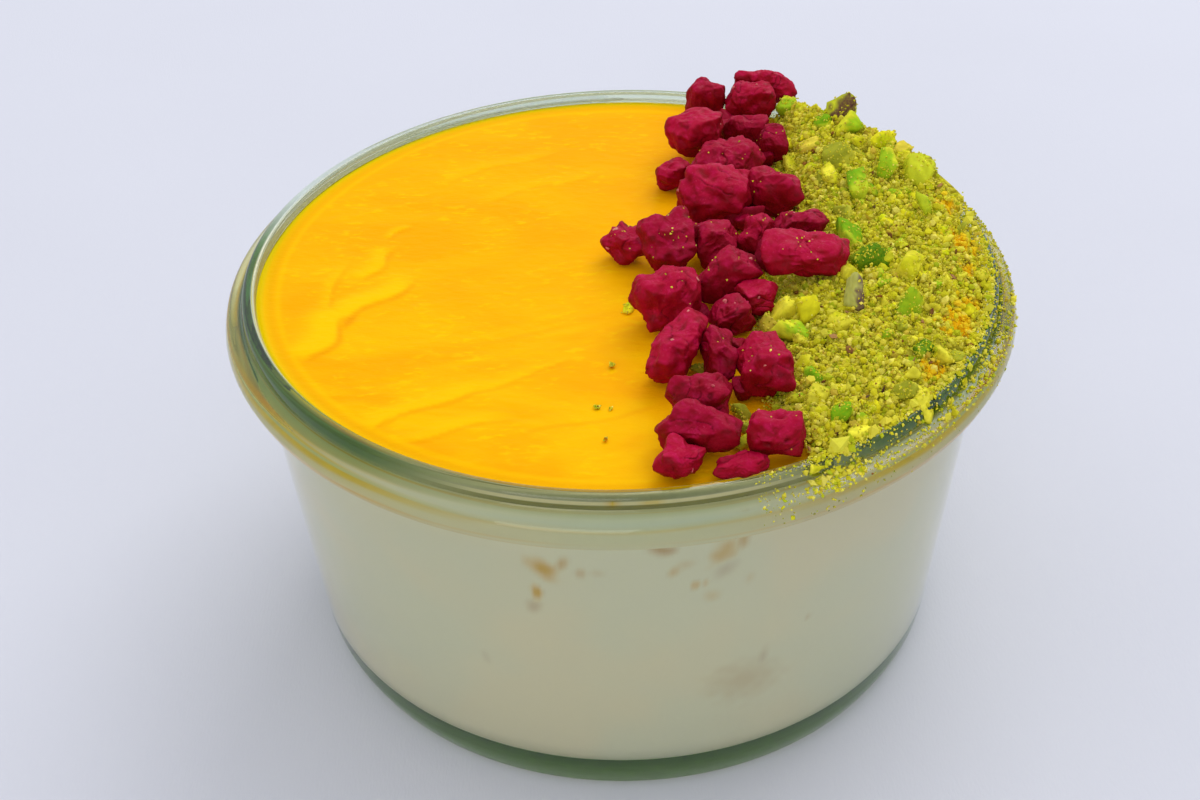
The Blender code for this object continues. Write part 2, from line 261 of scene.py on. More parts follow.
def makeCamera():
    camera = bpy.data.cameras.new("camera")
    camera.lens = view["lens"]
    camera.sensor_width = view["sensor"]
    camera.clip_start = 0.01
    holder = bpy.data.objects.new("camera", camera)
    bpy.context.scene.collection.objects.link(holder)
    rise = math.radians(view["elevation"])
    back = Vector((0, -math.cos(rise), math.sin(rise)))
    right = Vector((1, 0, 0))
    axes = Matrix((right, back.cross(right), back))
    for name, axis in (("pan", "Y"), ("tilt", "X"), ("roll", "Z")):
        axes = Matrix.Rotation(math.radians(view[name]), 3, axis) @ axes
    place = Vector((0, 0, view["height"])) + back * view["distance"]
    holder.matrix_world = Matrix.Translation(place * mm) @ axes.transposed().to_4x4()
    bpy.context.scene.camera = holder


studio = {
    "sky": (0.88, 0.90, 0.95), "skyStrength": 1.00, "frontStrength": 0.72,   # dim on the viewer's side
    # name: (x, y, z in m), size in m, power in W, colour
    "lamps": {
        "window": ((0.55, 0.95, 1.25), 1.2, 11.0, (1.0, 0.99, 0.98)),
        "front": ((-0.4, -1.5, 0.55), 1.0, 6.0, (1.0, 0.97, 0.93)),
    },
    "floor": (0.66, 0.67, 0.74), "floorSize": 4.0,
}


def makeSky():
    world = bpy.data.worlds.new("studio")
    bpy.context.scene.world = world
    sky = Paint("sky", world)
    depth = sky.add("ShaderNodeSeparateXYZ", None, {0: sky.place}, "Y")
    rise = sky.add("ShaderNodeSeparateXYZ", None, {0: sky.place}, "Z")
    share = sky.between(depth + 0.8 * rise, -0.4, 0.9)
    strength = studio["frontStrength"] + share * (studio["skyStrength"] - studio["frontStrength"])
    values = {"Color": (*studio["sky"], 1.0), "Strength": strength}
    glow = sky.add("ShaderNodeBackground", None, values, "Background")
    out = sky.tree.nodes.new("ShaderNodeOutputWorld")
    sky.tree.links.new(glow.socket, out.inputs["Surface"])


def makeLamps():
    for name, (place, size, power, color) in studio["lamps"].items():
        lamp = bpy.data.lights.new(name, "AREA")
        lamp.size = size
        lamp.energy = power
        lamp.color = color
        holder = bpy.data.objects.new(name, lamp)
        holder.location = place
        holder.rotation_euler = (-Vector(place)).to_track_quat("-Z", "Y").to_euler()
        bpy.context.scene.collection.objects.link(holder)


def makeFloor():
    paint = Paint("table")
    weave = paint.noise(0.35, 2.0, where=paint.stretched((1.0, 0.25, 1.0)))
    tone = paint.mix(paint.noise(60.0, 2.0), studio["floor"], [c * 0.96 for c in studio["floor"]])
    paint.finish({"Base Color": tone, "Roughness": 0.9, "Specular IOR Level": 0.1,
                  "Normal": paint.bump(weave, 0.03)})
    half = studio["floorSize"] / 2 / mm
    corners = np.array([(-half, -half, 0), (half, -half, 0), (half, half, 0), (-half, half, 0)], float)
    corners[:, 2] = -0.02
    floor = makePiece("floor", corners, [np.array([[0, 1, 2, 3]])], paint.material)
    floor.parent = None


makeCamera()
makeSky()
makeLamps()
makeFloor()
bpy.context.scene.view_settings.view_transform = "Standard"
print("camera and studio ready")


# ---- glass jar

jarHigh = np.array(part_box("glass_jar")[1]) / mm
jar = {
    "turns": 256,
    "lipRadius": jarHigh[0] - 3.7, "mouthRadius": jarHigh[0] - 4.8,
    "ledgeRadius": jarHigh[0] - 2.5, "ledgeHeight": jarHigh[2] - 1.9,
    "flangeHeight": jarHigh[2] - 4.4,
    "neckRadius": jarHigh[0] - 3.6, "neckHeight": jarHigh[2] - 7.1,
    "kneeRadius": jarHigh[0] - 7.2, "kneeHeight": 6.0, "footRadius": jarHigh[0] - 9.2,
    "wall": 2.5, "floor": 3.8, "punt": 0.9, "innerRound": 5.0,
    "tint": (0.44, 0.78, 0.20), "tintDensity": 25.0,
    "rimStep": 0.22,
    # degrees from straight ahead over which the rim's tints and painted light change
    "frontEnds": (32.0, 14.0), "cornerBegins": (14.0, 40.0),
    "sideBegins": (60.0, 76.0), "clearBegins": (92.0, 116.0),
    "clear": (0.97, 0.99, 0.97),
    # drops of mango on the rim: angle in degrees, level, width and depth of colour
    "amber": (1.0, 0.74, 0.02),
    "drops": [(-91.6, 50.8, 0.75, 0.9), (-86.4, 50.8, 1.2, 0.45), (-69.8, 54.0, 0.25, 1.0)],
}
# Colours of the thick rim, painted shade and painted light: dark green bands of painted shade, amber stripes
# of the mango seen through the glass, and pale painted highlights, from the lip's inner side out and down to
# the flange's lower edge. The level is the radius in mm less half the height above the ledge.
cornerPaintedLight = [
    (48, (1, 0.98, 0.8)), (48.4, (0.98, 0.86, 0.03)), (49.1, (0.94, 0.84, 0.03)), (49.4, (0.48, 0.5, 0.05)),
    (49.8, (0.14, 0.34, 0.04)), (50.9, (0.13, 0.33, 0.04)), (51.4, (0.38, 0.5, 0.18)),
    (52.1, (0.5, 0.58, 0.22)), (52.75, (0.6, 0.6, 0.22)), (52.9, (1, 0.68, 0.02)), (53.5, (1, 0.76, 0.02)),
    (53.65, (0.8, 0.82, 0.45)), (53.9, (0.82, 0.84, 0.45)), (54.05, (1, 0.76, 0.02)),
    (54.5, (1, 0.78, 0.05)), (54.8, (1, 0.95, 0.75)), (55.3, (1, 0.94, 0.78)), (55.4, (1, 0.84, 0.45))]
frontPaintedLight = [
    (49, (0.97, 0.99, 0.97)), (49.5, (0.86, 0.84, 0.5)), (49.8, (0.72, 0.74, 0.5)),
    (50.3, (0.74, 0.78, 0.58)), (50.5, (1, 0.97, 0.86)), (51, (1, 0.95, 0.78)), (51.2, (0.66, 0.66, 0.42)),
    (51.5, (0.58, 0.62, 0.42)), (51.9, (0.72, 0.79, 0.6)), (52.6, (0.9, 0.97, 0.93)),
    (53.4, (0.89, 0.97, 1)), (53.9, (0.92, 0.96, 0.9)), (54.15, (0.96, 0.88, 0.6)),
    (54.4, (0.97, 0.96, 0.88))]
sidePaintedLight = [
    (48.9, (0.97, 0.99, 0.97)), (49.1, (0.06, 0.2, 0.03)), (51.9, (0.07, 0.21, 0.03)),
    (52.2, (0.84, 0.66, 0.2)), (52.6, (0.92, 0.9, 0.5)), (53.4, (0.88, 0.86, 0.45)),
    (53.7, (1, 0.78, 0.08)), (54.2, (1, 0.82, 0.15)), (54.6, (1, 0.95, 0.75)), (55.4, (1, 0.84, 0.45))]
mangoTop = jarHigh[2] - 1.4
shoulder = mangoTop - 2.6   # above it the inside of the wall bends out to the mouth


def innerRadius(height):
    lean = (jar["neckRadius"] - jar["kneeRadius"]) / (jar["neckHeight"] - jar["kneeHeight"])
    wall = jar["kneeRadius"] + (min(height, shoulder) - jar["kneeHeight"]) * lean - jar["wall"]
    return wall + (jar["mouthRadius"] - wall) * max(0.0, height - shoulder) / (mangoTop - shoulder)


def jarOutline():
    # From the middle of the underside, out and up to the lip, and down the inside: (radius, height, rounding)
    foot, knee, neck = jar["footRadius"], jar["kneeRadius"], jar["neckRadius"]
    top, flange = jarHigh[2], jar["flangeHeight"]
    return roundedOutline([
        (0, jar["punt"], 0), (foot - 5.0, jar["punt"], 8), (foot - 1.2, 0, 0.5), (foot + 0.35, 0, 1.2),
        (knee - 0.25, 3.2, 7), (neck, jar["neckHeight"], 1.1), (jarHigh[0] - 0.6, flange - 1.75, 1.3),
        (jarHigh[0], flange, 1.5), (jarHigh[0] - 0.5, flange + 1.75, 1.3),
        (jar["ledgeRadius"], jar["ledgeHeight"], 0.5),
        (jar["lipRadius"] + 0.78, top, 0.72), (jar["lipRadius"] - 0.72, top, 0.6),
        (jar["mouthRadius"], mangoTop, 2.0), (innerRadius(shoulder), shoulder, 3.0),
        (innerRadius(jar["floor"]), jar["floor"], jar["innerRound"]), (0, jar["floor"], 0)])


def jarTop(radius):
    # Height of the glass under what lies on the rim: the outline from the flange's edge in to the lip
    outline = jarOutline()
    rim = outline[(outline[:, 1] > jar["flangeHeight"] - 1.2) & (outline[:, 0] > jar["mouthRadius"] + 0.1)]
    order = np.argsort(rim[:, 0])
    return np.interp(radius, rim[order, 0], rim[order, 1])


def finer(outline, low, step):
    # Extra points above a height, so that colours can change there
    parts = [outline[:1]]
    for start, end in zip(outline[:-1], outline[1:]):
        pieces = int(np.ceil(np.linalg.norm(end - start) / step)) if max(start[1], end[1]) > low else 1
        parts.append(start + (end - start) * np.linspace(0, 1, max(pieces, 1) + 1)[1:, None])
    return np.concatenate(parts)


def glassTintsAndPaintedLight(points):
    # The rim seen from above: dark green painted shade on both front corners, with painted amber stripes of
    # the mango seen through the glass low on the flange, and clear at the back
    radius, angle = polar(points[:, 0], points[:, 1])
    height = points[:, 2]
    fromFront = turnFrom(angle, -90.0)
    level = radius - 0.5 * (height - jar["ledgeHeight"])
    sway = 0.10 * np.sin(np.radians(5.0 * angle)) + 0.05 * np.sin(np.radians(17.0 * angle))
    swayed = level + sway * smoothStep(level, 52.0, 53.0)
    corner, front, side = (toneAt(swayed, rows) for rows in (cornerPaintedLight, frontPaintedLight, sidePaintedLight))
    early = 12.0 * smoothStep(level, 49.6, 49.0)   # the lip's inner edge changes first
    corner = blend(corner, side, smoothStep(fromFront + early, *jar["sideBegins"]))
    late = 18.0 * np.exp(-((level - 53.1) / 0.4) ** 2)   # the upper painted amber stripe ends sooner
    middle = 1 - (1 - corner) * smoothStep(fromFront - late, *jar["cornerBegins"])[:, None]
    tintsAndPaintedLight = np.clip(middle + (front - 1) * smoothStep(fromFront, *jar["frontEnds"])[:, None], 0.02, 1)
    inside = (radius < jar["mouthRadius"] + 0.15) | (height < jar["flangeHeight"] - 2.4)
    plain = np.where(inside, 1.0, smoothStep(fromFront, *jar["clearBegins"]))
    tintsAndPaintedLight = blend(tintsAndPaintedLight, jar["clear"], plain)
    for at, where, size, share in jar["drops"]:
        spot = np.hypot(np.radians(angle - at) * radius / size, (level - where) / 0.40)
        tintsAndPaintedLight = blend(tintsAndPaintedLight, jar["amber"], share * smoothStep(spot, 1.1, 0.7) * (1 - plain))
    return tintsAndPaintedLight ** 2   # the shader takes the root of it at each face


def makeJar():
    outline = finer(jarOutline(), jar["flangeHeight"] - 2.2, jar["rimStep"])
    points, faces = turnedSurface(outline, jar["turns"])
    paint = Paint("glass")
    wave = paint.noise(14.0, 1.0) + 0.35 * paint.noise(4.0, 1.0)
    values = {"Color": (*jar["tint"], 1.0), "Density": jar["tintDensity"]}
    tint = paint.add("ShaderNodeVolumeAbsorption", None, values)
    # The glass takes its colour from the tint attribute: the rim's painted shade, painted amber stripes and
    # painted highlights, clear elsewhere
    paint.finish({"Base Color": paint.attribute("tint", "Color"), "Roughness": 0.015, "IOR": 1.5,
                  "Transmission Weight": 1.0, "Normal": paint.bump(wave, 0.05)}, volume=tint)
    piece = makePiece("jar", points, faces, paint.material)
    addValues(piece, "tint", rgba(glassTintsAndPaintedLight(points)))
    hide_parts("glass_jar")


makeJar()
print("jar ready")


# ---- cream

cream = {
    "turns": 600, "rings": 90, "intoWall": 0.25, "top": mangoTop - 1.95,
    "warm": (0.99, 0.86, 0.66), "cool": (0.93, 0.86, 0.69), "paintedGlassFloorGreen": (0.72, 1.0, 0.42),
    "spongeTones": ((0.50, 0.30, 0.21), (0.82, 0.46, 0.045)),
    "dripTone": (0.95, 0.55, 0.01), "dripHeights": (50.7, 49.6),
}
# Sponge bits at the wall: angle round the jar in degrees, height, width, thickness, tilt, depth of colour
# and tone from 0 to 1
creamBits = [
    (-101.8, 42.3, 3, 1.3, -0.5, 0.95, 0.9), (-102.9, 37.8, 1.1, 1.2, 0, 1, 1),
    (-103.5, 35.4, 1.6, 1, 0.3, 0.45, 0.3), (-98.8, 43.6, 1.2, 0.9, 0.4, 0.7, 0.7),
    (-96.3, 42, 1.1, 0.6, 0, 0.5, 0.6), (-94, 42.2, 1.3, 0.4, 0, 0.2, 0.6),
    (-85, 45.9, 2.4, 0.8, -0.2, 0.95, 0.4), (-83.2, 41.9, 1.2, 0.6, 0.2, 0.55, 0.8),
    (-81.4, 43, 1.8, 0.5, 0.1, 0.3, 0.7), (-80.1, 39.1, 0.9, 0.6, 0, 0.6, 0.9),
    (-78.6, 39.3, 0.7, 0.5, 0, 0.35, 0.9), (-76, 44.2, 2.8, 1.6, 0.4, 0.7, 0.9),
    (-73.4, 45.5, 1.3, 1.1, 0, 0.7, 0.7), (-75.8, 41.2, 2.4, 1.2, 0.3, 0.3, 0.1),
    (-77.4, 36.9, 1.8, 0.7, -0.2, 0.3, 0.9), (-71.9, 38.5, 1, 0.7, 0, 0.2, 0.8),
    (-71.4, 19, 8, 3.2, -0.1, 0.34, 0.4), (-68.4, 22.8, 1.2, 1.4, 0.8, 0.32, 0.2),
    (-61, 27.5, 0.5, 0.4, 0, 0.3, 0.5), (-112.5, 23.5, 1, 0.8, -0.4, 0.2, 0)]


def creamBitTones(angle, height, radius):
    # Each bit is a blurred ellipse on the wall, with an uneven edge.
    depth = np.zeros_like(angle)
    brown = np.zeros_like(angle)
    spots = np.stack([np.radians(angle) * 47.0, height], axis=1)
    uneven = 0.10 * ripple(spots, 2.6, 31)
    for at, level, width, thickness, tilt, strength, tone in creamBits:
        along = np.radians(angle - at) * radius
        up = height - level - tilt * along
        away = np.hypot(along / (0.62 * width), up / (1.1 * thickness + 0.25))
        body = strength * smoothStep(1.5 - away + uneven, 0.0, 1.5)
        brown = np.where(body > depth, tone, brown)
        depth = np.maximum(depth, body)
    return depth, brown


def creamPaint():
    paint = Paint("cream")
    cloud = paint.between(paint.noise(26.0, 2.0), 0.38, 0.62)
    color = paint.mix(cloud, cream["warm"], cream["cool"])
    toned = paint.mix(paint.attribute("brown"), *cream["spongeTones"])
    color = paint.mix(paint.attribute("bit"), color, toned)
    # painted green of the light through the thick glass floor, on the cream's underside
    color = paint.mix(paint.attribute("base"), color, cream["paintedGlassFloorGreen"])
    color = paint.mix(paint.attribute("drip"), color, cream["dripTone"])
    paint.finish({"Base Color": color, "Roughness": 0.6, "Specular IOR Level": 0.1,
                  "Normal": paint.bump(paint.noise(0.8, 3.0), 0.03)})
    return paint.material


def makeCream():
    into = cream["intoWall"]
    low = jar["floor"] - into
    outline = roundedOutline([
        (0, low, 0), (innerRadius(low) + into, low, jar["innerRound"]),
        (innerRadius(shoulder) + into, shoulder, 0),
        (innerRadius(cream["top"]) + into, cream["top"], 0), (0, cream["top"], 0)])
    start = int(np.argmax(np.diff(outline[:, 1]))) + 1   # the long straight stretch of the wall
    share = np.linspace(0, 1, cream["rings"] + 1)[1:-1, None]
    wall = outline[start - 1] + (outline[start] - outline[start - 1]) * share
    points, faces = turnedSurface(np.concatenate([outline[:start], wall, outline[start:]]), cream["turns"])
    radius, angle = polar(points[:, 0], points[:, 1])
    depth, brown = creamBitTones(angle, points[:, 2], radius)
    piece = makePiece("cream", points, faces, creamPaint())
    addValues(piece, "bit", depth)
    addValues(piece, "brown", brown)
    # base: where the painted green of the glass floor covers the underside
    addValues(piece, "base", 1 - smoothStep(points[:, 2], low + 0.1, low + 1.0))
    # thin runs of mango between the cream and the wall, strongest on the left and on the right
    left = smoothStep(turnFrom(angle, 205.0), 75.0, 20.0)
    right = smoothStep(turnFrom(angle, -32.0), 60.0, 20.0)
    sway = 0.25 * np.sin(np.radians(angle) * 3.0) + 0.12 * np.sin(np.radians(angle) * 11.0)
    high, lower = cream["dripHeights"]
    high = 0.8 * np.exp(-((points[:, 2] - high - sway) / 0.7) ** 2) * np.maximum(left, right)
    lower = np.exp(-((points[:, 2] - lower - sway) / 0.28) ** 2) * smoothStep(-points[:, 1], -10.0, 30.0)
    addValues(piece, "drip", np.clip(high + 0.4 * lower, 0, 1))
    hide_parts("cream_filling")


makeCream()
print("cream ready")


# ---- mango layer

mango = {
    "turns": 480, "rings": 150, "sideRings": 30, "thickness": 2.0, "intoWall": 0.25, "sag": 0.25,
    "creep": 0.75, "creepWidth": 0.30,   # how far it climbs the wall, and over what width
    "bright": (0.99, 0.56, 0.0010), "plain": (0.945, 0.405, 0.0006), "deep": (0.88, 0.345, 0.0005),
    "edge": (0.86, 0.58, 0.001), "wall": (0.62, 0.56, 0.001),   # close to the glass and against it, painted green reflection of the glass
    "corner": (0.80, 0.74, 0.50), "back": (0.50, 0.56, 0.42),   # its side behind the rim, painted as the rim shows it: pale on the front corners, grey painted shade at the back
}
# Marks of the spatula: start and end in mm, half width, lift. The steep edge is on the right of its way.
mangoStrokes = [
    (-41.8, -20, -37.6, -9.5, 2.6, 0.2), (-38.6, -12, -30, -2, 2, 0.17), (-36, -1.5, -33, 6, 1.6, 0.12),
    (-40.5, -12, -39, 1.5, 0.9, 0.08), (-33.5, 9.4, -30.5, 12.4, 0.7, 0.1),
    (-32, -35, -18, -26.5, 1.5, 0.12), (-29, -38, -15, -33.5, 1.3, 0.09), (-24, -30.5, -8, -22, 1.2, 0.07),
    (-20, 20, -4, 27, 1.6, 0.05), (-12, -36, 4, -31, 1.2, 0.05), (-26, 26, -10, 34, 1.4, 0.05)]


def mangoMarks(x, y):
    # The highest stroke at each place: it fades in along its length, rises gently and drops on the right.
    marks = np.zeros_like(x)
    for x0, y0, x1, y1, half, lift in mangoStrokes:
        length = math.hypot(x1 - x0, y1 - y0)
        along = ((x - x0) * (x1 - x0) + (y - y0) * (y1 - y0)) / length ** 2
        across = ((x - x0) * (y1 - y0) - (y - y0) * (x1 - x0)) / length / half
        across = across + 0.35 * np.sin(7.0 * along + x0)
        body = smoothStep(along, -0.12, 0.12) * smoothStep(along, 1.2, 0.8)
        marks = np.maximum(marks, lift * body * smoothStep(across, -1.6, 0.5) * smoothStep(across, 1.15, 0.8))
    return marks


def mangoRelief(x, y):
    # Broad swells, as the solid has them, with fine wrinkles that lie across.
    swell = 0.14 * np.sin(x / 9.0 + 0.6) * np.cos(y / 12.0 - 0.4) + 0.10 * np.sin((x + 1.6 * y) / 17.0)
    across = np.stack([x * 0.45, y], axis=1)
    return swell + 0.016 * ripple(across, 1.4, 5) + 0.02 * ripple(across, 4.0, 6) + mangoMarks(x, y)


# Painted shade on the layer's side, as the thick rim shows it straight ahead, by height against the top: a
# yellow crest, a grey band of painted shade, a pale stripe and an olive foot of painted shade.
crestShadeTones = [
    (-1.6, (0.4, 0.38, 0.12)), (-1.3, (0.3, 0.29, 0.05)), (-1.15, (0.32, 0.31, 0.06)),
    (-1, (0.92, 0.85, 0.6)), (-0.45, (0.92, 0.86, 0.64)), (-0.32, (0.34, 0.37, 0.24)),
    (-0.2, (0.3, 0.32, 0.12)), (-0.14, (0.95, 0.54, 0.002))]


def rimShadeTones(fromFront, height):
    # The side is painted pale on both front corners, and grey with painted shade at the back.
    tones = blend(toneAt(height - mangoTop, crestShadeTones), mango["corner"], smoothStep(fromFront, 14.0, 34.0))
    return blend(tones, mango["back"], smoothStep(fromFront, 96.0, 112.0))


def mangoPaint():
    paint = Paint("mango")
    inward = paint.attribute("inward")
    strokeHighlight = paint.attribute("strokeHighlight")
    drift = paint.noise(16.0, 3.0, where=paint.stretched((0.5, 1.0, 1.0)), distortion=1.2)
    fine = paint.noise(0.75, 3.0, where=paint.stretched((0.42, 1.0, 1.0)))
    patchy = paint.between(paint.noise(7.0, 2.0), 0.4, 0.62)
    bright = paint.between(drift, 0.35, 0.65) * (0.30 + 0.4 * paint.attribute("near"))
    color = paint.mix(bright, mango["plain"], mango["bright"])
    # painted highlights: bright specks on the fine wrinkles
    color = paint.mix(patchy * paint.between(fine, 0.50, 0.68) * 0.75, color, mango["bright"])
    # painted highlight on the spatula strokes
    color = paint.mix(strokeHighlight, color, mango["bright"])
    # painted shade just past each stroke's steep edge, and in one spot
    color = paint.mix(paint.attribute("strokeShade"), color, mango["deep"])
    color = paint.mix(0.7 * paint.between(inward, 3.4, 2.4), color, mango["bright"])
    color = paint.mix(0.6 * paint.between(inward, 3.0, 1.4), color, mango["deep"])
    # painted green reflection of the glass near the wall and against it
    color = paint.mix(0.6 * paint.between(inward, 2.2, 0.3), color, mango["edge"])
    color = paint.mix(0.7 * paint.between(inward, 0.9, 0.0), color, mango["wall"])
    # painted shade on the side behind the rim
    color = paint.mix(paint.between(inward, -0.1, -0.4), color, paint.attribute("rim", "Color"))
    paint.finish({"Base Color": color, "Roughness": 0.4, "Specular IOR Level": 0.012,
                  "Normal": paint.bump(fine, 0.12)})
    return paint.material


def makeMango():
    low = mangoTop - mango["thickness"]
    into = mango["intoWall"]
    edge = jar["mouthRadius"] + into
    foot = innerRadius(low) + into
    crest = mangoTop + mango["creep"]
    levels = np.linspace(low, crest, mango["sideRings"])
    side = np.stack([np.interp(levels, (low, mangoTop, crest), (foot, edge, edge)), levels], axis=1)
    radii = edge * (1 - np.linspace(0, 1, mango["rings"] + 1)[1:] ** 1.6)
    climb = np.exp(-(edge - into - np.minimum(radii, edge - into)) / mango["creepWidth"])
    top = np.stack([radii, mangoTop - mango["sag"] + (mango["sag"] + mango["creep"]) * climb], axis=1)
    points, faces = turnedSurface(np.concatenate([[(0, low)], side, top]), mango["turns"])
    radius, angle = polar(points[:, 0], points[:, 1])
    fromFront = turnFrom(angle, -90.0)
    sagged = mangoTop - mango["sag"]
    keep = 1 - 0.9 * smoothStep(fromFront, 70.0, 105.0)   # it doesn't climb at the back
    points[:, 2] = np.where(points[:, 2] > sagged, sagged + (points[:, 2] - sagged) * keep, points[:, 2])
    onTop = np.arange(len(points)) >= len(side) * mango["turns"]
    onTop[-2] = False
    away = edge - into - radius
    points[onTop, 2] += mangoRelief(points[onTop, 0], points[onTop, 1]) * smoothStep(away[onTop], 0.6, 4.0)
    piece = makePiece("mango", points, faces, mangoPaint())
    addValues(piece, "inward", np.where(onTop, away, -1.0))   # mm from the wall, -1 where the wall covers it
    x, y = points[:, 0], points[:, 1]
    # painted highlight on the strokes, and painted shade just past their steep edges
    marks = mangoMarks(x, y) / 0.2
    addValues(piece, "strokeHighlight", np.clip(1.3 * marks, 0, 1))
    addValues(piece, "near", smoothStep(y, 8.0, -30.0))
    beyond = mangoMarks(x - 0.7, y + 0.5) / 0.2   # just past a stroke's steep edge
    spot = np.exp(-((x + 35.9) ** 2 + (y + 12.2) ** 2) / 1.0)
    addValues(piece, "strokeShade", np.clip(0.9 * (beyond - marks) + 0.8 * spot, 0, 1))
    # painted shade of the side behind the rim
    addValues(piece, "rim", rgba(rimShadeTones(fromFront, points[:, 2])))
    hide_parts("mango_layer")


makeMango()
print("mango ready")


# ---- raspberry pieces

raspberry = {
    "across": 38, "soften": 0.02, "swell": 1.13,
    "cuts": 8, "cutReach": (0.72, 1.0), "cutSharpness": 60.0,
    "lumps": 0.21, "lumpSize": 3.4, "creases": 0.24, "creaseSize": 3.4, "creaseWidth": 0.07,
    "ridges": 0.13, "ridgeSize": 1.8, "fine": 0.045, "fineSize": 0.55,
    "pits": 2, "pitDepth": 0.35, "pitSpread": 0.006,
    # The flesh tones are painted shade for the sides and undersides, lit is painted light on the upper faces,
    # and hollow is painted shade in pits and creases.
    "shadedFlesh": ((0.20, 0.0002, 0.005), (0.30, 0.0005, 0.011)), "hollow": (0.11, 0.0001, 0.002),
    "lit": (0.39, 0.0008, 0.030), "dustAndHighlights": (0.52, 0.007, 0.078), "specks": (0.70, 0.07, 0.17),
}
# Points and hollows of single pieces, by number: the way they face, how far they reach, how wide they are
raspberryLobes = {
    "02": [((1, -0.3, -0.1), 0.22, 0.05), ((-1, 0.2, 0.7), 0.18, 0.05)],
    "03": [((-0.5, 0.3, 1), 0.12, 0.1), ((0.1, -1, 0.2), -0.14, 0.05)],
    "08": [((-1, -0.6, 0), 0.16, 0.08), ((-0.3, -0.5, 0.8), -0.14, 0.03)],
    "09": [((-0.2, -0.2, 1), -0.12, 0.03), ((0.3, -0.3, 1), 0.1, 0.06)],
    "10": [((1, -0.9, 0.1), 0.3, 0.04), ((1, 0.2, 0.7), 0.18, 0.04)],
    "11": [((-1, 0.1, 0.3), 0.25, 0.07), ((-0.2, 0.9, 0.9), 0.3, 0.03), ((0.9, 0.9, 0.6), 0.2, 0.05)],
    "12": [((-0.4, 0.9, 0.9), -0.24, 0.05), ((0.6, 0.8, 0.9), 0.2, 0.06), ((-0.9, 0.2, 0.9), 0.16, 0.05)],
    "14": [((0.3, 0.3, 1), 0.2, 0.05)],
    "15": [((1, 0.1, -0.2), 0.15, 0.05), ((-0.2, 0.4, 1), -0.1, 0.04)],
    "16": [((1, -0.2, -0.1), 0.26, 0.06), ((0.5, 0.7, 0.8), 0.14, 0.05), ((0, 0.6, 1), -0.08, 0.03)],
    "19": [((1, 0.7, 0.5), 0.2, 0.05)],
    "23": [((0.9, -1, -0.2), 0.2, 0.03)],
    "25": [((1, 0, 0.5), 0.14, 0.05), ((0, 0.3, 1), 0.12, 0.08), ((0, -0.6, 0.9), -0.12, 0.05)],
    "27": [((0, 0.3, 1), -0.2, 0.03), ((-1, 0.5, 0.9), 0.22, 0.04), ((0.9, 0.2, 0.7), 0.12, 0.05)],
}


def cubeDirections(across):
    # A cube's surface grid pushed out to a sphere: unit directions and the squares between them.
    steps = np.tan(np.linspace(-math.pi / 4, math.pi / 4, across + 1))
    first, second = np.meshgrid(steps, steps, indexing="ij")
    one = np.ones_like(first)
    sides = []
    for axis in range(3):
        for sign in (1, -1):
            parts = [None, None, None]
            parts[axis] = sign * one
            parts[(axis + 1) % 3] = first
            parts[(axis + 2) % 3] = sign * second
            sides.append(np.stack(parts, axis=-1))
    points = np.concatenate([side.reshape(-1, 3) for side in sides])
    index = np.arange((across + 1) ** 2).reshape(across + 1, across + 1)
    quads = np.concatenate([gridSquares(index) + side * len(index) ** 2 for side in range(6)])
    points, same = np.unique(np.round(points, 6), axis=0, return_inverse=True)
    quads = same.reshape(-1)[quads]
    return unit(points), quads


def facetReach(ways, triangles):
    # How far a solid's facets lie from its middle along each way: the plane distance of the facet it meets.
    a, b, c = triangles[:, 0], triangles[:, 1], triangles[:, 2]
    normal = np.cross(b - a, c - a)
    inside = np.minimum(np.minimum(ways @ np.cross(a, b).T, ways @ np.cross(b, c).T), ways @ np.cross(c, a).T)
    slope = ways @ normal.T
    reach = (normal * a).sum(axis=1) / np.where(np.abs(slope) < 1e-9, 1e-9, slope)
    met = (inside >= -1e-9 * np.abs(inside).max()) & (slope > 0)
    return np.where(met, reach, 0.0).max(axis=1)


def nodeTriangles(name):
    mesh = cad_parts[name].data
    mesh.calc_loop_triangles()
    points = np.empty(len(mesh.vertices) * 3)
    mesh.vertices.foreach_get("co", points)
    corners = np.empty(len(mesh.loop_triangles) * 3, np.int32)
    mesh.loop_triangles.foreach_get("vertices", corners)
    return points.reshape(-1, 3)[corners].reshape(-1, 3, 3) / mm


def raspberryPaint():
    paint = Paint("raspberry")
    hollow = paint.attribute("hollow")
    upward = paint.attribute("upward")
    mottle = paint.noise(1.3, 4.0)
    # painted shade: dark flesh tones for the sides and undersides
    color = paint.mix(paint.between(mottle, 0.32, 0.68), *raspberry["shadedFlesh"])
    # painted light on the upward faces
    color = paint.mix(upward, color, raspberry["lit"])
    dustAndHighlights = paint.between(paint.noise(0.9, 4.0, distortion=0.6), 0.45, 0.72)
    specks = paint.between(paint.noise(0.30, 2.0), 0.62, 0.76)
    # pink powder dust and painted highlights, on the upper faces only
    color = paint.mix(upward * dustAndHighlights * 0.65, color, raspberry["dustAndHighlights"])
    # pale dust specks, shown only on the lit upper faces
    color = paint.mix(upward * specks * 0.35, color, raspberry["specks"])
    # painted shade in pits and creases
    color = paint.mix(hollow, color, raspberry["hollow"])
    color = paint.mix(1.0, color, paint.attribute("tone", "Color"), "MULTIPLY")
    skin = paint.noise(0.20, 3.0) + 0.5 * paint.noise(0.5, 3.0, distortion=1.0)
    paint.finish({"Base Color": color, "Roughness": 0.38 + 0.3 * paint.between(mottle, 0.3, 0.6),
                  "Specular IOR Level": 0.10, "Normal": paint.bump(skin, 0.05)})
    return paint.material


def ridged(points, size, seed):
    # Sharp ridges between rounded dips: a half less the size of a ripple
    return 0.5 - np.minimum(np.abs(ripple(points, size, seed)), 1.3)


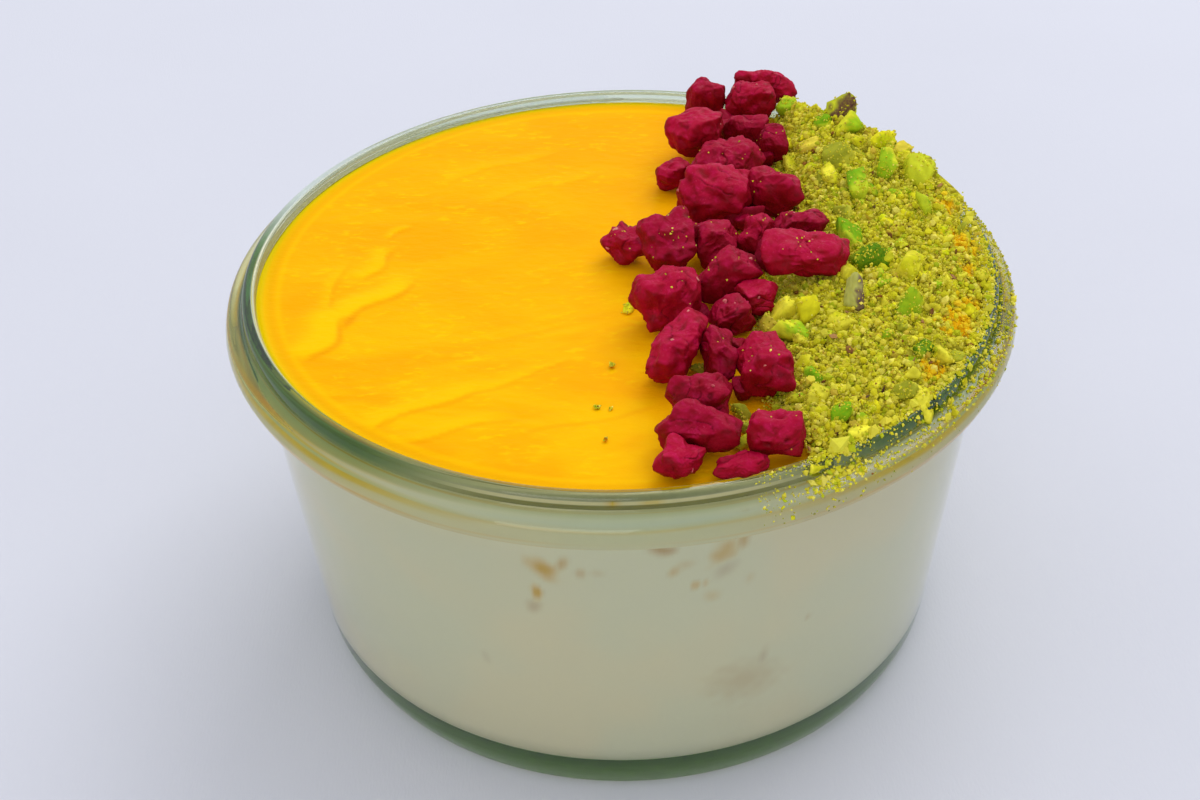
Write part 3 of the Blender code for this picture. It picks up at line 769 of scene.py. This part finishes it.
def vertexNormals(piece):
    normals = np.empty(len(piece.data.vertices) * 3)
    piece.data.vertices.foreach_get("normal", normals)
    return normals.reshape(-1, 3)


def cutDown(rng, ways, reach):
    # Flat broken faces: reach = reach * (1 + sum of (reach * way . normal / span) ^ sharp) ^ (-1 / sharp)
    normals = unit(rng.normal(size=(raspberry["cuts"], 3)))
    spans = ((ways * reach[:, None]) @ normals.T).max(axis=0)
    spans = spans * rng.uniform(*raspberry["cutReach"], raspberry["cuts"])
    sharp = raspberry["cutSharpness"]
    cut = (reach[:, None] * np.maximum(ways @ normals.T, 1e-6) / spans) ** sharp
    return reach * (1 + cut.sum(axis=1)) ** (-1 / sharp)


def skinLift(rng, points, number):
    # mm outwards, from soft lumps, sharp ridges and a fine grain, and how far into a crease, 0 to 1
    lift = raspberry["lumps"] * ripple(points, raspberry["lumpSize"], 40 + number)
    stretched = points * rng.uniform(0.6, 1.2, 3)
    lift += raspberry["ridges"] * ridged(stretched, raspberry["ridgeSize"], 80 + number)
    lift += raspberry["fine"] * ridged(points, raspberry["fineSize"], 120 + number)
    stretched = points * rng.uniform(0.3, 1.3, 3)
    crease = np.abs(ripple(stretched, raspberry["creaseSize"], 60 + number, waves=12))
    crease = np.exp(-crease / raspberry["creaseWidth"])
    return lift, crease * smoothStep(ripple(points, 4.0, 160 + number), -0.7, 0.6)


def makeRaspberries():
    # Points along ways from the middle of each solid, as far out as its facets, cuts and skin say
    ways, quads = cubeDirections(raspberry["across"])
    material = raspberryPaint()
    surfaces = {}
    for number, node in enumerate(sorted(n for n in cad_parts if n.startswith("raspberry_"))):
        rng = np.random.default_rng(300 + number)
        triangles = nodeTriangles(node)
        middle = triangles.reshape(-1, 3).mean(axis=0)
        cone = [ways] + [ways + raspberry["soften"] * rng.normal(0, 0.6, 3) for _ in range(6)]
        reach = np.mean([facetReach(w, triangles - middle) for w in cone], axis=0)
        reach = cutDown(rng, ways, reach) * raspberry["swell"]
        for way, height, spread in raspberryLobes.get(node[-2:], []):
            facing = ways @ unit(np.array(way))
            reach = reach * (1 + height * np.exp((facing - 1) / spread))
        points = middle + ways * reach[:, None]
        lift, crease = skinLift(rng, points, number)
        pitWays = unit(rng.normal(size=(raspberry["pits"], 3)))
        spread = raspberry["pitSpread"] * (3.5 / reach.mean()) ** 2
        pit = np.exp((ways @ pitWays.T - 1) / spread).max(axis=1)
        lift -= raspberry["creases"] * crease + raspberry["pitDepth"] * pit
        points += ways * lift[:, None]
        piece = makePiece(node + "_piece", points, [quads], material)
        # painted light by how far each face points up, painted shade in pits and creases
        upward = vertexNormals(piece)[:, 2] + 0.22 * ripple(points, 1.8, number)
        addValues(piece, "hollow", np.clip(0.7 * pit + 0.8 * crease, 0, 1))
        addValues(piece, "upward", smoothStep(upward, 0.10, 0.95))
        addValues(piece, "tone", np.full(len(points), rng.uniform(0.78, 1.08)))
        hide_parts(node)
        surfaces[node] = (middle, points, vertexNormals(piece))
    return surfaces


def brokenBlocks(rng, ways, lengths, places, width=0.7, thickness=0.6, lean=0.3, sides=11, sharpness=14.0):
    # Blocks with broken sides: reach = (sum of (way . side / distance) ^ sharpness) ^ (-1 / sharpness)
    count = len(lengths)
    normals = rng.normal(size=(count, sides, 3))
    normals[:, :6] = np.concatenate([np.eye(3), -np.eye(3)]) + rng.normal(0, 0.24, (count, 6, 3))
    facing = np.maximum(np.einsum("vj,nkj->nvk", ways, unit(normals)), 0)
    facing = facing / rng.uniform(0.70, 1.0, (count, 1, sides))
    reach = (facing ** sharpness).sum(axis=2) ** (-1 / sharpness)
    half = lengths[:, None] / 2 * np.stack([np.ones(count), width * rng.uniform(0.8, 1.25, count),
                                            thickness * rng.uniform(0.75, 1.2, count)], axis=1)
    bodies = ways[None] * reach[..., None] * half[:, None, :]
    return np.einsum("nij,nvj->nvi", turnsOf(rng, count, lean), bodies) + places[:, None, :]


def turnsOf(rng, count, lean=1.0):
    # Random turns: unit quaternions written out as matrices. A small lean keeps them near a turn round Z.
    w, x, y, z = unit((rng.normal(size=(4, count)) * np.array([1.0, lean, lean, 1.0])[:, None]).T).T
    rows = [[1 - 2 * (y * y + z * z), 2 * (x * y - z * w), 2 * (x * z + y * w)],
            [2 * (x * y + z * w), 1 - 2 * (x * x + z * z), 2 * (y * z - x * w)],
            [2 * (x * z - y * w), 2 * (y * z + x * w), 1 - 2 * (x * x + y * y)]]
    return np.moveaxis(np.array(rows), 2, 0)


def copiesOf(faces, corners, count):
    return (faces[None] + (np.arange(count) * corners)[:, None, None]).reshape(-1, faces.shape[1])


# Broken bits between the raspberries: x, y, height above the mango and length in mm
raspberryBits = [
    (17.5, 37.2, 1, 4.2), (16.8, 26.6, 1.2, 4), (20.5, 23.5, 1, 3.6), (11.5, 17, 1.2, 3.8),
    (18.6, 16.5, 1.2, 4), (18.2, 7.5, 1.4, 4.4), (11, 5.2, 1.3, 4), (9.8, -7.4, 1.2, 3.6),
    (16.9, -3.6, 1.2, 3.8), (20.6, -2.2, 1.1, 3.6), (10.6, -13.6, 1, 3), (16, -14.8, 1, 3.2),
    (11.2, -20.6, 1.1, 3.2), (14.6, -22.4, 1.2, 3.6), (14.8, -31, 0.9, 3), (17.6, 36, 1.4, 4),
    (22.4, 26.4, 1.3, 3.6), (19.6, 15.4, 1.3, 4.2), (12.6, 8.6, 1.2, 3.8), (19, 8.4, 1.3, 4),
    (11.8, -32, 0.9, 3), (5.6, 2.6, 0.9, 3)]
# Seeds on them: the piece, the way it faces from the piece's middle, and its length in mm
raspberrySeeds = [
    ("03", (-0.9, 0.1, 0.8), 1.5), ("03", (0.3, 0.1, 1), 1.2), ("04", (0.8, 0, 0.3), 1),
    ("09", (-1, -0.2, 0.3), 1.1), ("11", (-0.6, 0.1, 1), 1.2), ("11", (-0.9, -0.3, 0), 1.2),
    ("15", (-0.5, 0, 1), 1), ("17", (0.8, 0.2, 0.6), 1), ("18", (0.9, 0.1, 0.6), 1.2),
    ("20", (-0.4, 0.5, 0.9), 1.3), ("20", (0.2, 0.1, 1), 1.1), ("19", (0.1, -0.8, 0.6), 1.2),
    ("21", (0.3, 0.8, 0.7), 0.9), ("21", (-0.2, -0.6, 0.6), 0.9), ("24", (0.4, -0.1, 0.9), 1.2),
    ("23", (0, -0.8, 0.5), 0.9), ("27", (-0.8, 0.6, 0.9), 1.5), ("26", (0.6, -0.8, -0.1), 0.8),
    ("16", (0.3, 0.2, 1), 0.9)]
seeds = {
    "scale": 0.72, "width": 0.62, "thickness": 0.5, "sink": 0.12,
    "tones": ((0.56, 0.07, 0.10), (0.68, 0.26, 0.20)),
}
# Ground nut caught on them: the piece and how many grains
raspberryCrumbs = [
    ("11", 8), ("12", 20), ("17", 12), ("16", 14), ("08", 8), ("06", 7), ("15", 6), ("18", 5), ("23", 9),
    ("14", 6), ("13", 4), ("10", 6), ("22", 3), ("27", 3)]


def makeRaspberryBits(surfaces):
    rng = np.random.default_rng(17)
    ways, quads = cubeDirections(14)
    table = np.array(raspberryBits)
    places = np.column_stack([table[:, :2], mangoTop + table[:, 2]])
    bodies = brokenBlocks(rng, ways, table[:, 3], places, 0.85, 0.8, lean=1.0).reshape(-1, 3)
    lift = 0.10 * ridged(bodies, 1.1, 9) + 0.05 * ripple(bodies, 2.0, 10)
    bodies += np.tile(ways, (len(table), 1)) * lift[:, None]
    piece = makePiece("raspberry_bits", bodies, [copiesOf(quads, len(ways), len(table))], raspberryPaint())
    # painted light on the bits' upward faces; no painted shade in them
    addValues(piece, "hollow", np.zeros(len(bodies)))
    addValues(piece, "upward", smoothStep(vertexNormals(piece)[:, 2], 0.2, 1.0))
    addValues(piece, "tone", np.full(len(bodies), 0.8))
    # seeds: small ovals half sunk in the nearest place of their piece
    ways, quads = cubeDirections(6)
    places = []
    for node, way, _ in raspberrySeeds:
        middle, points, _ = surfaces["raspberry_" + node]
        outward = unit(points - middle)
        nearest = np.argmax(outward @ np.array(way))
        places.append(points[nearest] - seeds["sink"] * outward[nearest])
    lengths = np.array([seed[2] for seed in raspberrySeeds]) * seeds["scale"]
    bodies = brokenBlocks(rng, ways, lengths, np.array(places), seeds["width"], seeds["thickness"],
                          lean=0.6, sides=14, sharpness=7.0)
    paint = Paint("raspberrySeed")
    color = paint.mix(paint.between(paint.noise(0.5, 2.0), 0.35, 0.65), *seeds["tones"])
    paint.finish({"Base Color": color, "Roughness": 0.4, "Specular IOR Level": 0.3})
    faces = copiesOf(quads, len(ways), len(lengths))
    piece = makePiece("raspberry_seeds", bodies.reshape(-1, 3), [faces], paint.material)


def crumbSpots(rng, surfaces):
    spots = []
    for node, count in raspberryCrumbs:
        _, points, normals = surfaces["raspberry_" + node]
        upper = np.flatnonzero(normals[:, 2] > 0.35)
        spots.append(points[rng.choice(upper, count)])
    return np.concatenate(spots)


raspberrySurfaces = makeRaspberries()
makeRaspberryBits(raspberrySurfaces)
print("raspberry pieces ready:", len(raspberrySurfaces))


# ---- pistachio heap

heap = {
    "edge": 23.4, "edgeBend": 2.9, "fringe": 1.0, "back": 57.5, "front": -61.5, "overLip": 10.0,
    "rows": 250, "columns": 84,
    "depth": 1.9, "backDepth": 3.4, "least": 0.30, "lift": 0.05, "reachOver": 2.2,
    "clumps": 0.33, "clumpSize": 1.9, "crumbs": 0.17, "crumbSize": 0.75,
    "hollowTone": (0.22, 0.18, 0.003), "crestLightTone": (0.70, 0.64, 0.06),
    "mangoTone": (0.95, 0.50, 0.004), "stainedTone": (0.95, 0.62, 0.010), "speckTone": (0.55, 0.48, 0.005),
    "strewn": (15.0, 51.6),   # radii between which grains fall
}
# Where the mango shows through the heap: x, y and radius in mm
heapWindows = [
    (47, 0.6, 2.8), (46.4, 10.5, 1.8), (46.8, -6.4, 1.7), (43.6, -18.7, 3), (45.8, -14, 1.5),
    (38.6, -28.6, 2)]
# Colours of the ground nut: (share, red, green, blue)
nutColors = np.array([
    (0.42, 0.76, 0.69, 0.06), (0.3, 0.68, 0.63, 0.022), (0.1, 0.48, 0.55, 0.02), (0.13, 0.88, 0.79, 0.13),
    (0.04, 0.62, 0.46, 0.05), (0.008, 0.26, 0.08, 0.025)])


def heapEdge(angle):
    # x of the heap's straight side, at an angle round the jar
    return heap["edge"] + heap["edgeBend"] * np.tanh((angle + 15.0) / 22.0)


def heapSurface(angle, radius, inner, outer):
    # x, y, height and roughness of the heap's top: deep inside, thin at the straight side and at the rim
    depth = heap["depth"] + (heap["backDepth"] - heap["depth"]) * smoothStep(angle, 10.0, 50.0)
    depth = depth * (0.10 + 0.90 * smoothStep(radius - inner, 0.0, 5.5))
    depth = depth * (0.30 + 0.70 * smoothStep(outer - radius, 0.0, 3.0))
    x, y = around(radius, angle)
    spots = np.stack([x, y], axis=-1).reshape(-1, 2)
    rough = heap["clumps"] * ripple(spots, heap["clumpSize"], 7)
    rough = (rough + heap["crumbs"] * ripple(spots, heap["crumbSize"], 8)).reshape(x.shape)
    return x, y, mangoTop + heap["lift"] + np.maximum(depth + rough, heap["least"]), rough


def heapOutline(angle):
    # The heap's inner and outer radius, and how far it is raised on to the lip
    raised = smoothStep(angle, heap["overLip"] - 4.0, heap["overLip"])
    over = smoothStep(angle, heap["overLip"], heap["overLip"] + 5.0)
    inner = (heapEdge(angle) - heap["fringe"]) / np.cos(np.radians(angle))
    outer = jar["mouthRadius"] - 0.2 + (heap["reachOver"] + 0.2) * over
    return np.minimum(inner, jar["mouthRadius"] - 1.8), outer, raised


def heapWindow(x, y):
    # 1 in the middle of a bare patch, with a ragged edge
    ragged = 0.35 * ripple(np.stack([x, y], axis=1), 1.3, 77)
    return np.max([smoothStep(np.hypot(x - middleX, y - middleY) / size + ragged, 1.1, 0.6)
                   for middleX, middleY, size in heapWindows], axis=0)


def nutPaint():
    paint = Paint("pistachio")
    tone = paint.attribute("nut", "Color")
    speck = paint.noise(0.35, 4.0)
    color = paint.mix(0.20 * paint.between(speck, 0.35, 0.65), tone, heap["speckTone"])
    paint.finish({"Base Color": color, "Roughness": 0.75, "Specular IOR Level": 0.03,
                  "Normal": paint.bump(paint.noise(0.18, 3.0), 0.04)})
    return paint.material


def pickColors(rng, count):
    kinds = rng.choice(len(nutColors), count, p=nutColors[:, 0] / nutColors[:, 0].sum())
    return nutColors[kinds, 1:] * rng.uniform(0.78, 1.08, (count, 1)) * rng.uniform(0.96, 1.04, (count, 3))


def makeHeapCore(material):
    angle = np.linspace(heap["back"], heap["front"], heap["rows"])[:, None]
    inner, outer, raised = heapOutline(angle)
    radius = inner + (outer - inner) * np.linspace(0, 1, heap["columns"])[None, :]
    angle = np.broadcast_to(angle, radius.shape)
    x, y, top, rough = heapSurface(angle, radius, inner, outer)
    base = np.full_like(top, mangoTop - 0.3)
    onLip = smoothStep(radius, jar["mouthRadius"] - 0.6, jar["mouthRadius"] + 0.2)
    base = base + (jarHigh[2] - 0.1 - base) * onLip * raised
    top = np.maximum(top, base + heap["least"])
    count = x.size
    points = np.concatenate([np.stack([x, y, z], axis=-1).reshape(-1, 3) for z in (top, base)])
    index = np.arange(count).reshape(x.shape)
    upper = gridSquares(index)
    border = np.concatenate([index[0, :-1], index[:-1, -1], index[-1, :0:-1], index[:0:-1, 0]])
    ahead = np.roll(border, -1)
    skirt = np.stack([border, ahead, ahead + count, border + count], axis=1)
    piece = makePiece("pistachio_core", points, [upper, upper[:, ::-1] + count, skirt], material)
    # painted shade in the hollows of the relief and painted light on its crests
    crest = np.tile(smoothStep(rough.ravel(), -0.30, 0.30), 2)
    colors = blend(np.array(heap["hollowTone"]), heap["crestLightTone"], crest)
    addValues(piece, "nut", rgba(blend(colors, heap["mangoTone"], heapWindow(points[:, 0], points[:, 1]))))
    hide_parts("pistachio_heap")


def scatter(name, rng, shape, centres, sizes, colors, material, stretch=(1.0, 1.0, 1.0)):
    # Each body is the same few-sided shape with its corners moved at random, stretched, turned and placed.
    template, faces = shape
    count = len(centres)
    bodies = template[None] * rng.uniform(0.72, 1.25, (count, len(template), 1))
    bodies = bodies * (sizes[:, None] * rng.uniform(0.65, 1.25, (count, 3)) * np.array(stretch))[:, None, :]
    bodies = np.einsum("nij,nvj->nvi", turnsOf(rng, count), bodies) + centres[:, None, :]
    faces = copiesOf(faces, len(template), count)
    piece = makePiece(name, bodies.reshape(-1, 3), [faces], material, smooth=False)
    addValues(piece, "nut", np.repeat(rgba(colors), len(template), axis=0))


def octahedron():
    points = np.concatenate([np.eye(3), -np.eye(3)])
    faces = np.array([[0, 1, 2], [1, 3, 2], [3, 4, 2], [4, 0, 2], [1, 0, 5], [3, 1, 5], [4, 3, 5], [0, 4, 5]])
    return points, faces


def icosahedron():
    # three golden rectangles, whose nearest corners make the faces
    golden = (1 + math.sqrt(5)) / 2
    flat = np.array([(0, a, b * golden) for a in (1, -1) for b in (1, -1)])
    points = np.concatenate([np.roll(flat, turn, axis=1) for turn in range(3)])
    near = np.linalg.norm(points[:, None] - points[None], axis=2) < 2.1
    faces = np.array([(i, j, k) for i in range(12) for j in range(i + 1, 12) for k in range(j + 1, 12)
                      if near[i, j] and near[j, k] and near[i, k]])
    a, b, c = (points[faces[:, n]] for n in range(3))
    inward = (np.cross(b - a, c - a) * a).sum(axis=1) < 0
    faces[inward] = faces[inward][:, ::-1]
    return points / np.linalg.norm(points[0]), faces


def heapSpots(rng, count, spread=0.0):
    # Random places on the heap and the height of its top there. Bare patches and the fringe get fewer.
    angle = rng.uniform(heap["front"] - 2, heap["back"] + 0.5, count * 3)
    inner, outer, _ = heapOutline(angle)
    near, far = heap["strewn"]
    radius = np.sqrt(rng.uniform(near ** 2, far ** 2, count * 3))
    x, y = around(radius, angle)
    share = smoothStep(radius, inner - spread, inner + 0.5) * (1 - 0.6 * heapWindow(x, y))
    kept = (rng.uniform(size=count * 3) < share) & (radius < outer)
    angle, radius, inner, outer = (v[kept][:count] for v in (angle, radius, inner, outer))
    x, y, top, _ = heapSurface(angle, radius, inner, outer)
    top = np.where(radius < inner, mangoTop - 0.1, top)
    return np.stack([x, y, top], axis=1)


powder = {
    "fine": 21500, "fineSize": (0.09, 0.23), "coarse": 9500, "coarseSize": (0.17, 0.50),
    "pile": 0.26, "spread": 6.5, "dustSize": (0.08, 0.19), "crumbSize": (0.08, 0.21),
}
# Ground nut on the rim: from and to angle, from and to radius, how many grains, size against dustSize
rimDust = [
    (-60, 16, 49.1, 50.55, 2300, 1.15), (-58, 14, 49.1, 50.2, 260, 2.2), (-33, 16, 50.3, 53.9, 1000, 1),
    (-57, -33, 50.3, 53.8, 420, 1), (10, 58, 51, 53.8, 700, 1), (-73, -56, 50, 53.9, 300, 1),
    (-64.5, -57.5, 49.6, 53.2, 210, 1.5), (-66.5, -62, 51.5, 54.15, 60, 1.9),
    (-63, -58.5, 49.8, 52.6, 60, 2.6), (-57, -20, 50.4, 53.4, 110, 2)]


def makePowder(material):
    rng = np.random.default_rng(51)
    for name, shape in (("fine_a", octahedron()), ("fine_b", octahedron()), ("coarse", icosahedron())):
        kind = name.split("_")[0]
        spread = powder["spread"] * (1.0 if kind == "fine" else 0.6)
        spots = heapSpots(rng, powder[kind], spread)
        sizes = rng.uniform(*powder[kind + "Size"], len(spots)) * rng.uniform(0.7, 1.3, len(spots))
        clump = 0.6 + 0.4 * ripple(spots[:, :2], 1.7, 12)
        spots[:, 2] += powder["pile"] * rng.exponential(0.7, len(spots)) * clump + 0.04
        stained = 0.75 * heapWindow(spots[:, 0], spots[:, 1])
        colors = blend(pickColors(rng, len(spots)), heap["stainedTone"], stained)
        scatter("pistachio_" + name, rng, shape, spots, sizes, colors, material)
    spots, sizes = [], []
    for fromAngle, toAngle, fromRadius, toRadius, count, scale in rimDust:
        angle = rng.uniform(fromAngle, toAngle, count)
        radius = rng.uniform(fromRadius, toRadius, count)
        grains = rng.uniform(*powder["dustSize"], count) * scale
        grains = grains * np.minimum(0.65 + rng.exponential(0.4, count), 3.0)
        spots.append(np.stack([*around(radius, angle), jarTop(radius) + 0.4 * grains], axis=1))
        sizes.append(grains)
    spots.append(crumbSpots(rng, raspberrySurfaces))
    sizes.append(rng.uniform(*powder["crumbSize"], len(spots[-1])))
    spots, sizes = np.concatenate(spots), np.concatenate(sizes)
    scatter("pistachio_dust", rng, octahedron(), spots, sizes, pickColors(rng, len(spots)), material)


# ---- pistachio nibs

nibs = {
    "across": 7, "scale": 0.84, "sink": 0.15, "lean": 0.30, "dusting": 30,
    "small": 275, "smallSize": (0.9, 2.2),
    "smallKinds": {"yellow": 0.42, "bright": 0.16, "mixed": 0.20, "green": 0.08, "olive": 0.07,
                   "tan": 0.05, "skinned": 0.02},
}
# Colour inside, colour of the outer side, share of the outer side
nibTones = {
    "yellow": ((0.8, 0.73, 0.05), (0.66, 0.64, 0.018), 0.3),
    "bright": ((0.82, 0.76, 0.02), (0.58, 0.64, 0.01), 0.35),
    "mixed": ((0.66, 0.67, 0.03), (0.3, 0.5, 0.015), 0.45),
    "green": ((0.52, 0.63, 0.028), (0.17, 0.4, 0.01), 0.5),
    "dark": ((0.34, 0.48, 0.018), (0.075, 0.22, 0.008), 0.62),
    "tan": ((0.74, 0.6, 0.055), (0.62, 0.46, 0.05), 0.45),
    "olive": ((0.58, 0.56, 0.05), (0.36, 0.38, 0.03), 0.5),
    "skinned": ((0.55, 0.6, 0.026), (0.11, 0.045, 0.04), 0.3),
    "grey": ((0.44, 0.45, 0.12), (0.13, 0.07, 0.09), 0.36),
    "stained": ((0.8, 0.36, 0.006), (0.62, 0.24, 0.01), 0.5)}
# x, y and length in mm, and kind
nibPlaces = [
    (27, 41, 5, "mixed"), (28.9, 38.8, 3.5, "yellow"), (25.9, 31, 4.5, "bright"),
    (25.9, 24.6, 4.5, "yellow"), (28.6, 25.8, 4.5, "tan"), (31.4, 32.3, 4, "green"),
    (34.8, 35.1, 6, "skinned"), (35.4, 30.2, 5, "mixed"), (36.2, 26, 4, "yellow"),
    (39.7, 26.7, 6, "bright"), (42.1, 24.4, 4.5, "tan"), (32.7, 22.1, 7, "olive"),
    (39.3, 18.8, 6.5, "mixed"), (43.9, 18.2, 8.5, "skinned"), (34.6, 13.7, 7.5, "green"),
    (30.5, 16.6, 4.5, "yellow"), (43.2, 7.7, 4, "green"), (31.8, 0.1, 6, "green"), (33.6, -4.6, 6, "dark"),
    (38.7, -7.3, 7.5, "yellow"), (30.3, -7.5, 4, "yellow"), (30.5, -14.4, 6.5, "grey"),
    (21.3, -15, 5, "yellow"), (24.2, -16.7, 6, "bright"), (37.2, -16.6, 6, "mixed"), (45, 0.6, 3, "yellow"),
    (47.4, 3.3, 2.4, "olive"), (48.2, -7.8, 3, "yellow"), (31.8, 7.1, 5, "olive"), (19.8, -18.4, 6, "tan"),
    (28.2, -19.2, 4.5, "yellow"), (37.4, -25.7, 4, "dark"), (39.8, -26.1, 4, "yellow"),
    (22.3, -21, 5, "mixed"), (19.5, -22.2, 4, "dark"), (19.6, -28.8, 3, "yellow"),
    (23.4, -30.4, 3.5, "green"), (35.8, -34, 5.5, "yellow"), (34.1, -33.5, 4, "olive"),
    (23.6, -34.3, 4, "yellow"), (26, -37.8, 3.5, "green"), (22, -45.5, 3.6, "yellow"),
    (23.4, -44.6, 3, "green"), (22.6, -28.1, 4, "yellow"), (27.6, -40.9, 4, "yellow"),
    (14.4, -34.4, 3.4, "olive"), (14.5, -37.3, 2.6, "olive"), (14.4, -40.2, 3.4, "mixed"),
    (9.8, -25.3, 2.6, "olive"), (1.3, -11, 2.5, "bright"), (8.1, -28.2, 1.9, "tan"),
    (-1.1, -23.8, 1.1, "olive"), (-2.9, -32.5, 1, "green"), (-1.4, -32.8, 0.6, "stained"),
    (-2, -38.8, 0.8, "stained")]


def surfaceHeight(x, y):
    # The heap's top inside its outline, the mango outside it
    radius, angle = polar(x, y)
    inner, outer, _ = heapOutline(angle)
    top = heapSurface(angle, radius, inner, outer)[2]
    onHeap = (radius > inner) & (angle > heap["front"]) & (angle < heap["back"])
    return np.where(onHeap, top, mangoTop - 0.15)


def makeNibs(material):
    rng = np.random.default_rng(64)
    ways, quads = cubeDirections(nibs["across"])
    places = np.array([place[:2] for place in nibPlaces])
    lengths = np.array([place[2] for place in nibPlaces]) * nibs["scale"]
    kinds = [place[3] for place in nibPlaces]
    extra = heapSpots(rng, nibs["small"], 2.0)[:, :2]
    places = np.concatenate([places, extra])
    lengths = np.concatenate([lengths, rng.uniform(*nibs["smallSize"], len(extra))])
    kinds += list(rng.choice(list(nibs["smallKinds"]), len(extra), p=list(nibs["smallKinds"].values())))
    count = len(places)
    height = surfaceHeight(places[:, 0], places[:, 1]) + nibs["sink"] * lengths
    bodies = brokenBlocks(rng, ways, lengths, np.column_stack([places, height]), lean=nibs["lean"])
    flat = bodies.reshape(-1, 3)
    bulge = 0.06 * ripple(flat, 1.6, 71) + 0.05 * ripple(flat, 0.7, 72)
    flat += np.tile(ways, (count, 1)) * bulge[:, None]
    tones = np.array([[nibTones[kind][0], nibTones[kind][1]] for kind in kinds])
    outerShare = np.array([nibTones[kind][2] for kind in kinds])
    toward = unit(rng.normal(size=(count, 3)) + np.array([0.0, -0.6, 0.5]))
    share = np.einsum("vj,nj->nv", ways, toward) - (1 - 2 * outerShare)[:, None]
    share = share + 0.18 * ripple(flat, 1.2, 73).reshape(count, -1)
    colors = blend(tones[:, 0, None], tones[:, 1, None], smoothStep(share, -0.15, 0.25))
    mottle = 1 + 0.10 * ripple(flat, 0.9, 74).reshape(count, -1, 1)
    colors = colors * rng.uniform(0.85, 1.12, (count, 1, 1)) * mottle
    piece = makePiece("pistachio_nibs", flat, [copiesOf(quads, len(ways), count)], material)
    addValues(piece, "nut", rgba(colors.reshape(-1, 3)))
    # ground nut that clings to their upper sides
    grains = int(nibs["dusting"] * lengths.sum() / 2.0)
    chosen = rng.choice(count, grains, p=lengths / lengths.sum())
    upper = np.flatnonzero(ways[:, 2] > 0.15)
    spots = bodies[chosen, rng.choice(upper, grains)]
    spots = spots + rng.normal(0, 0.12, spots.shape) * (1, 1, 0.2)
    sizes = rng.uniform(*powder["fineSize"], grains)
    scatter("pistachio_dusting", rng, octahedron(), spots, sizes, pickColors(rng, grains), material)


flakes = {"count": 120, "size": (0.20, 0.60)}
skinTones = np.array([
    (0.17, 0.045, 0.035), (0.26, 0.09, 0.05), (0.075, 0.03, 0.035), (0.42, 0.2, 0.09)])


def makeFlakes(material):
    # Bits of the nuts' brown skin: flat crumbs strewn over the heap
    rng = np.random.default_rng(83)
    spots = heapSpots(rng, flakes["count"], 3.0)
    spots[:, 2] += 0.35
    colors = skinTones[rng.integers(0, len(skinTones), len(spots))] * rng.uniform(0.8, 1.2, (len(spots), 1))
    sizes = rng.uniform(*flakes["size"], len(spots))
    scatter("pistachio_skins", rng, icosahedron(), spots, sizes, colors, material, stretch=(1.5, 0.8, 0.35))


nutMaterial = nutPaint()
makeHeapCore(nutMaterial)
makePowder(nutMaterial)
makeNibs(nutMaterial)
makeFlakes(nutMaterial)
print("pistachio heap ready")
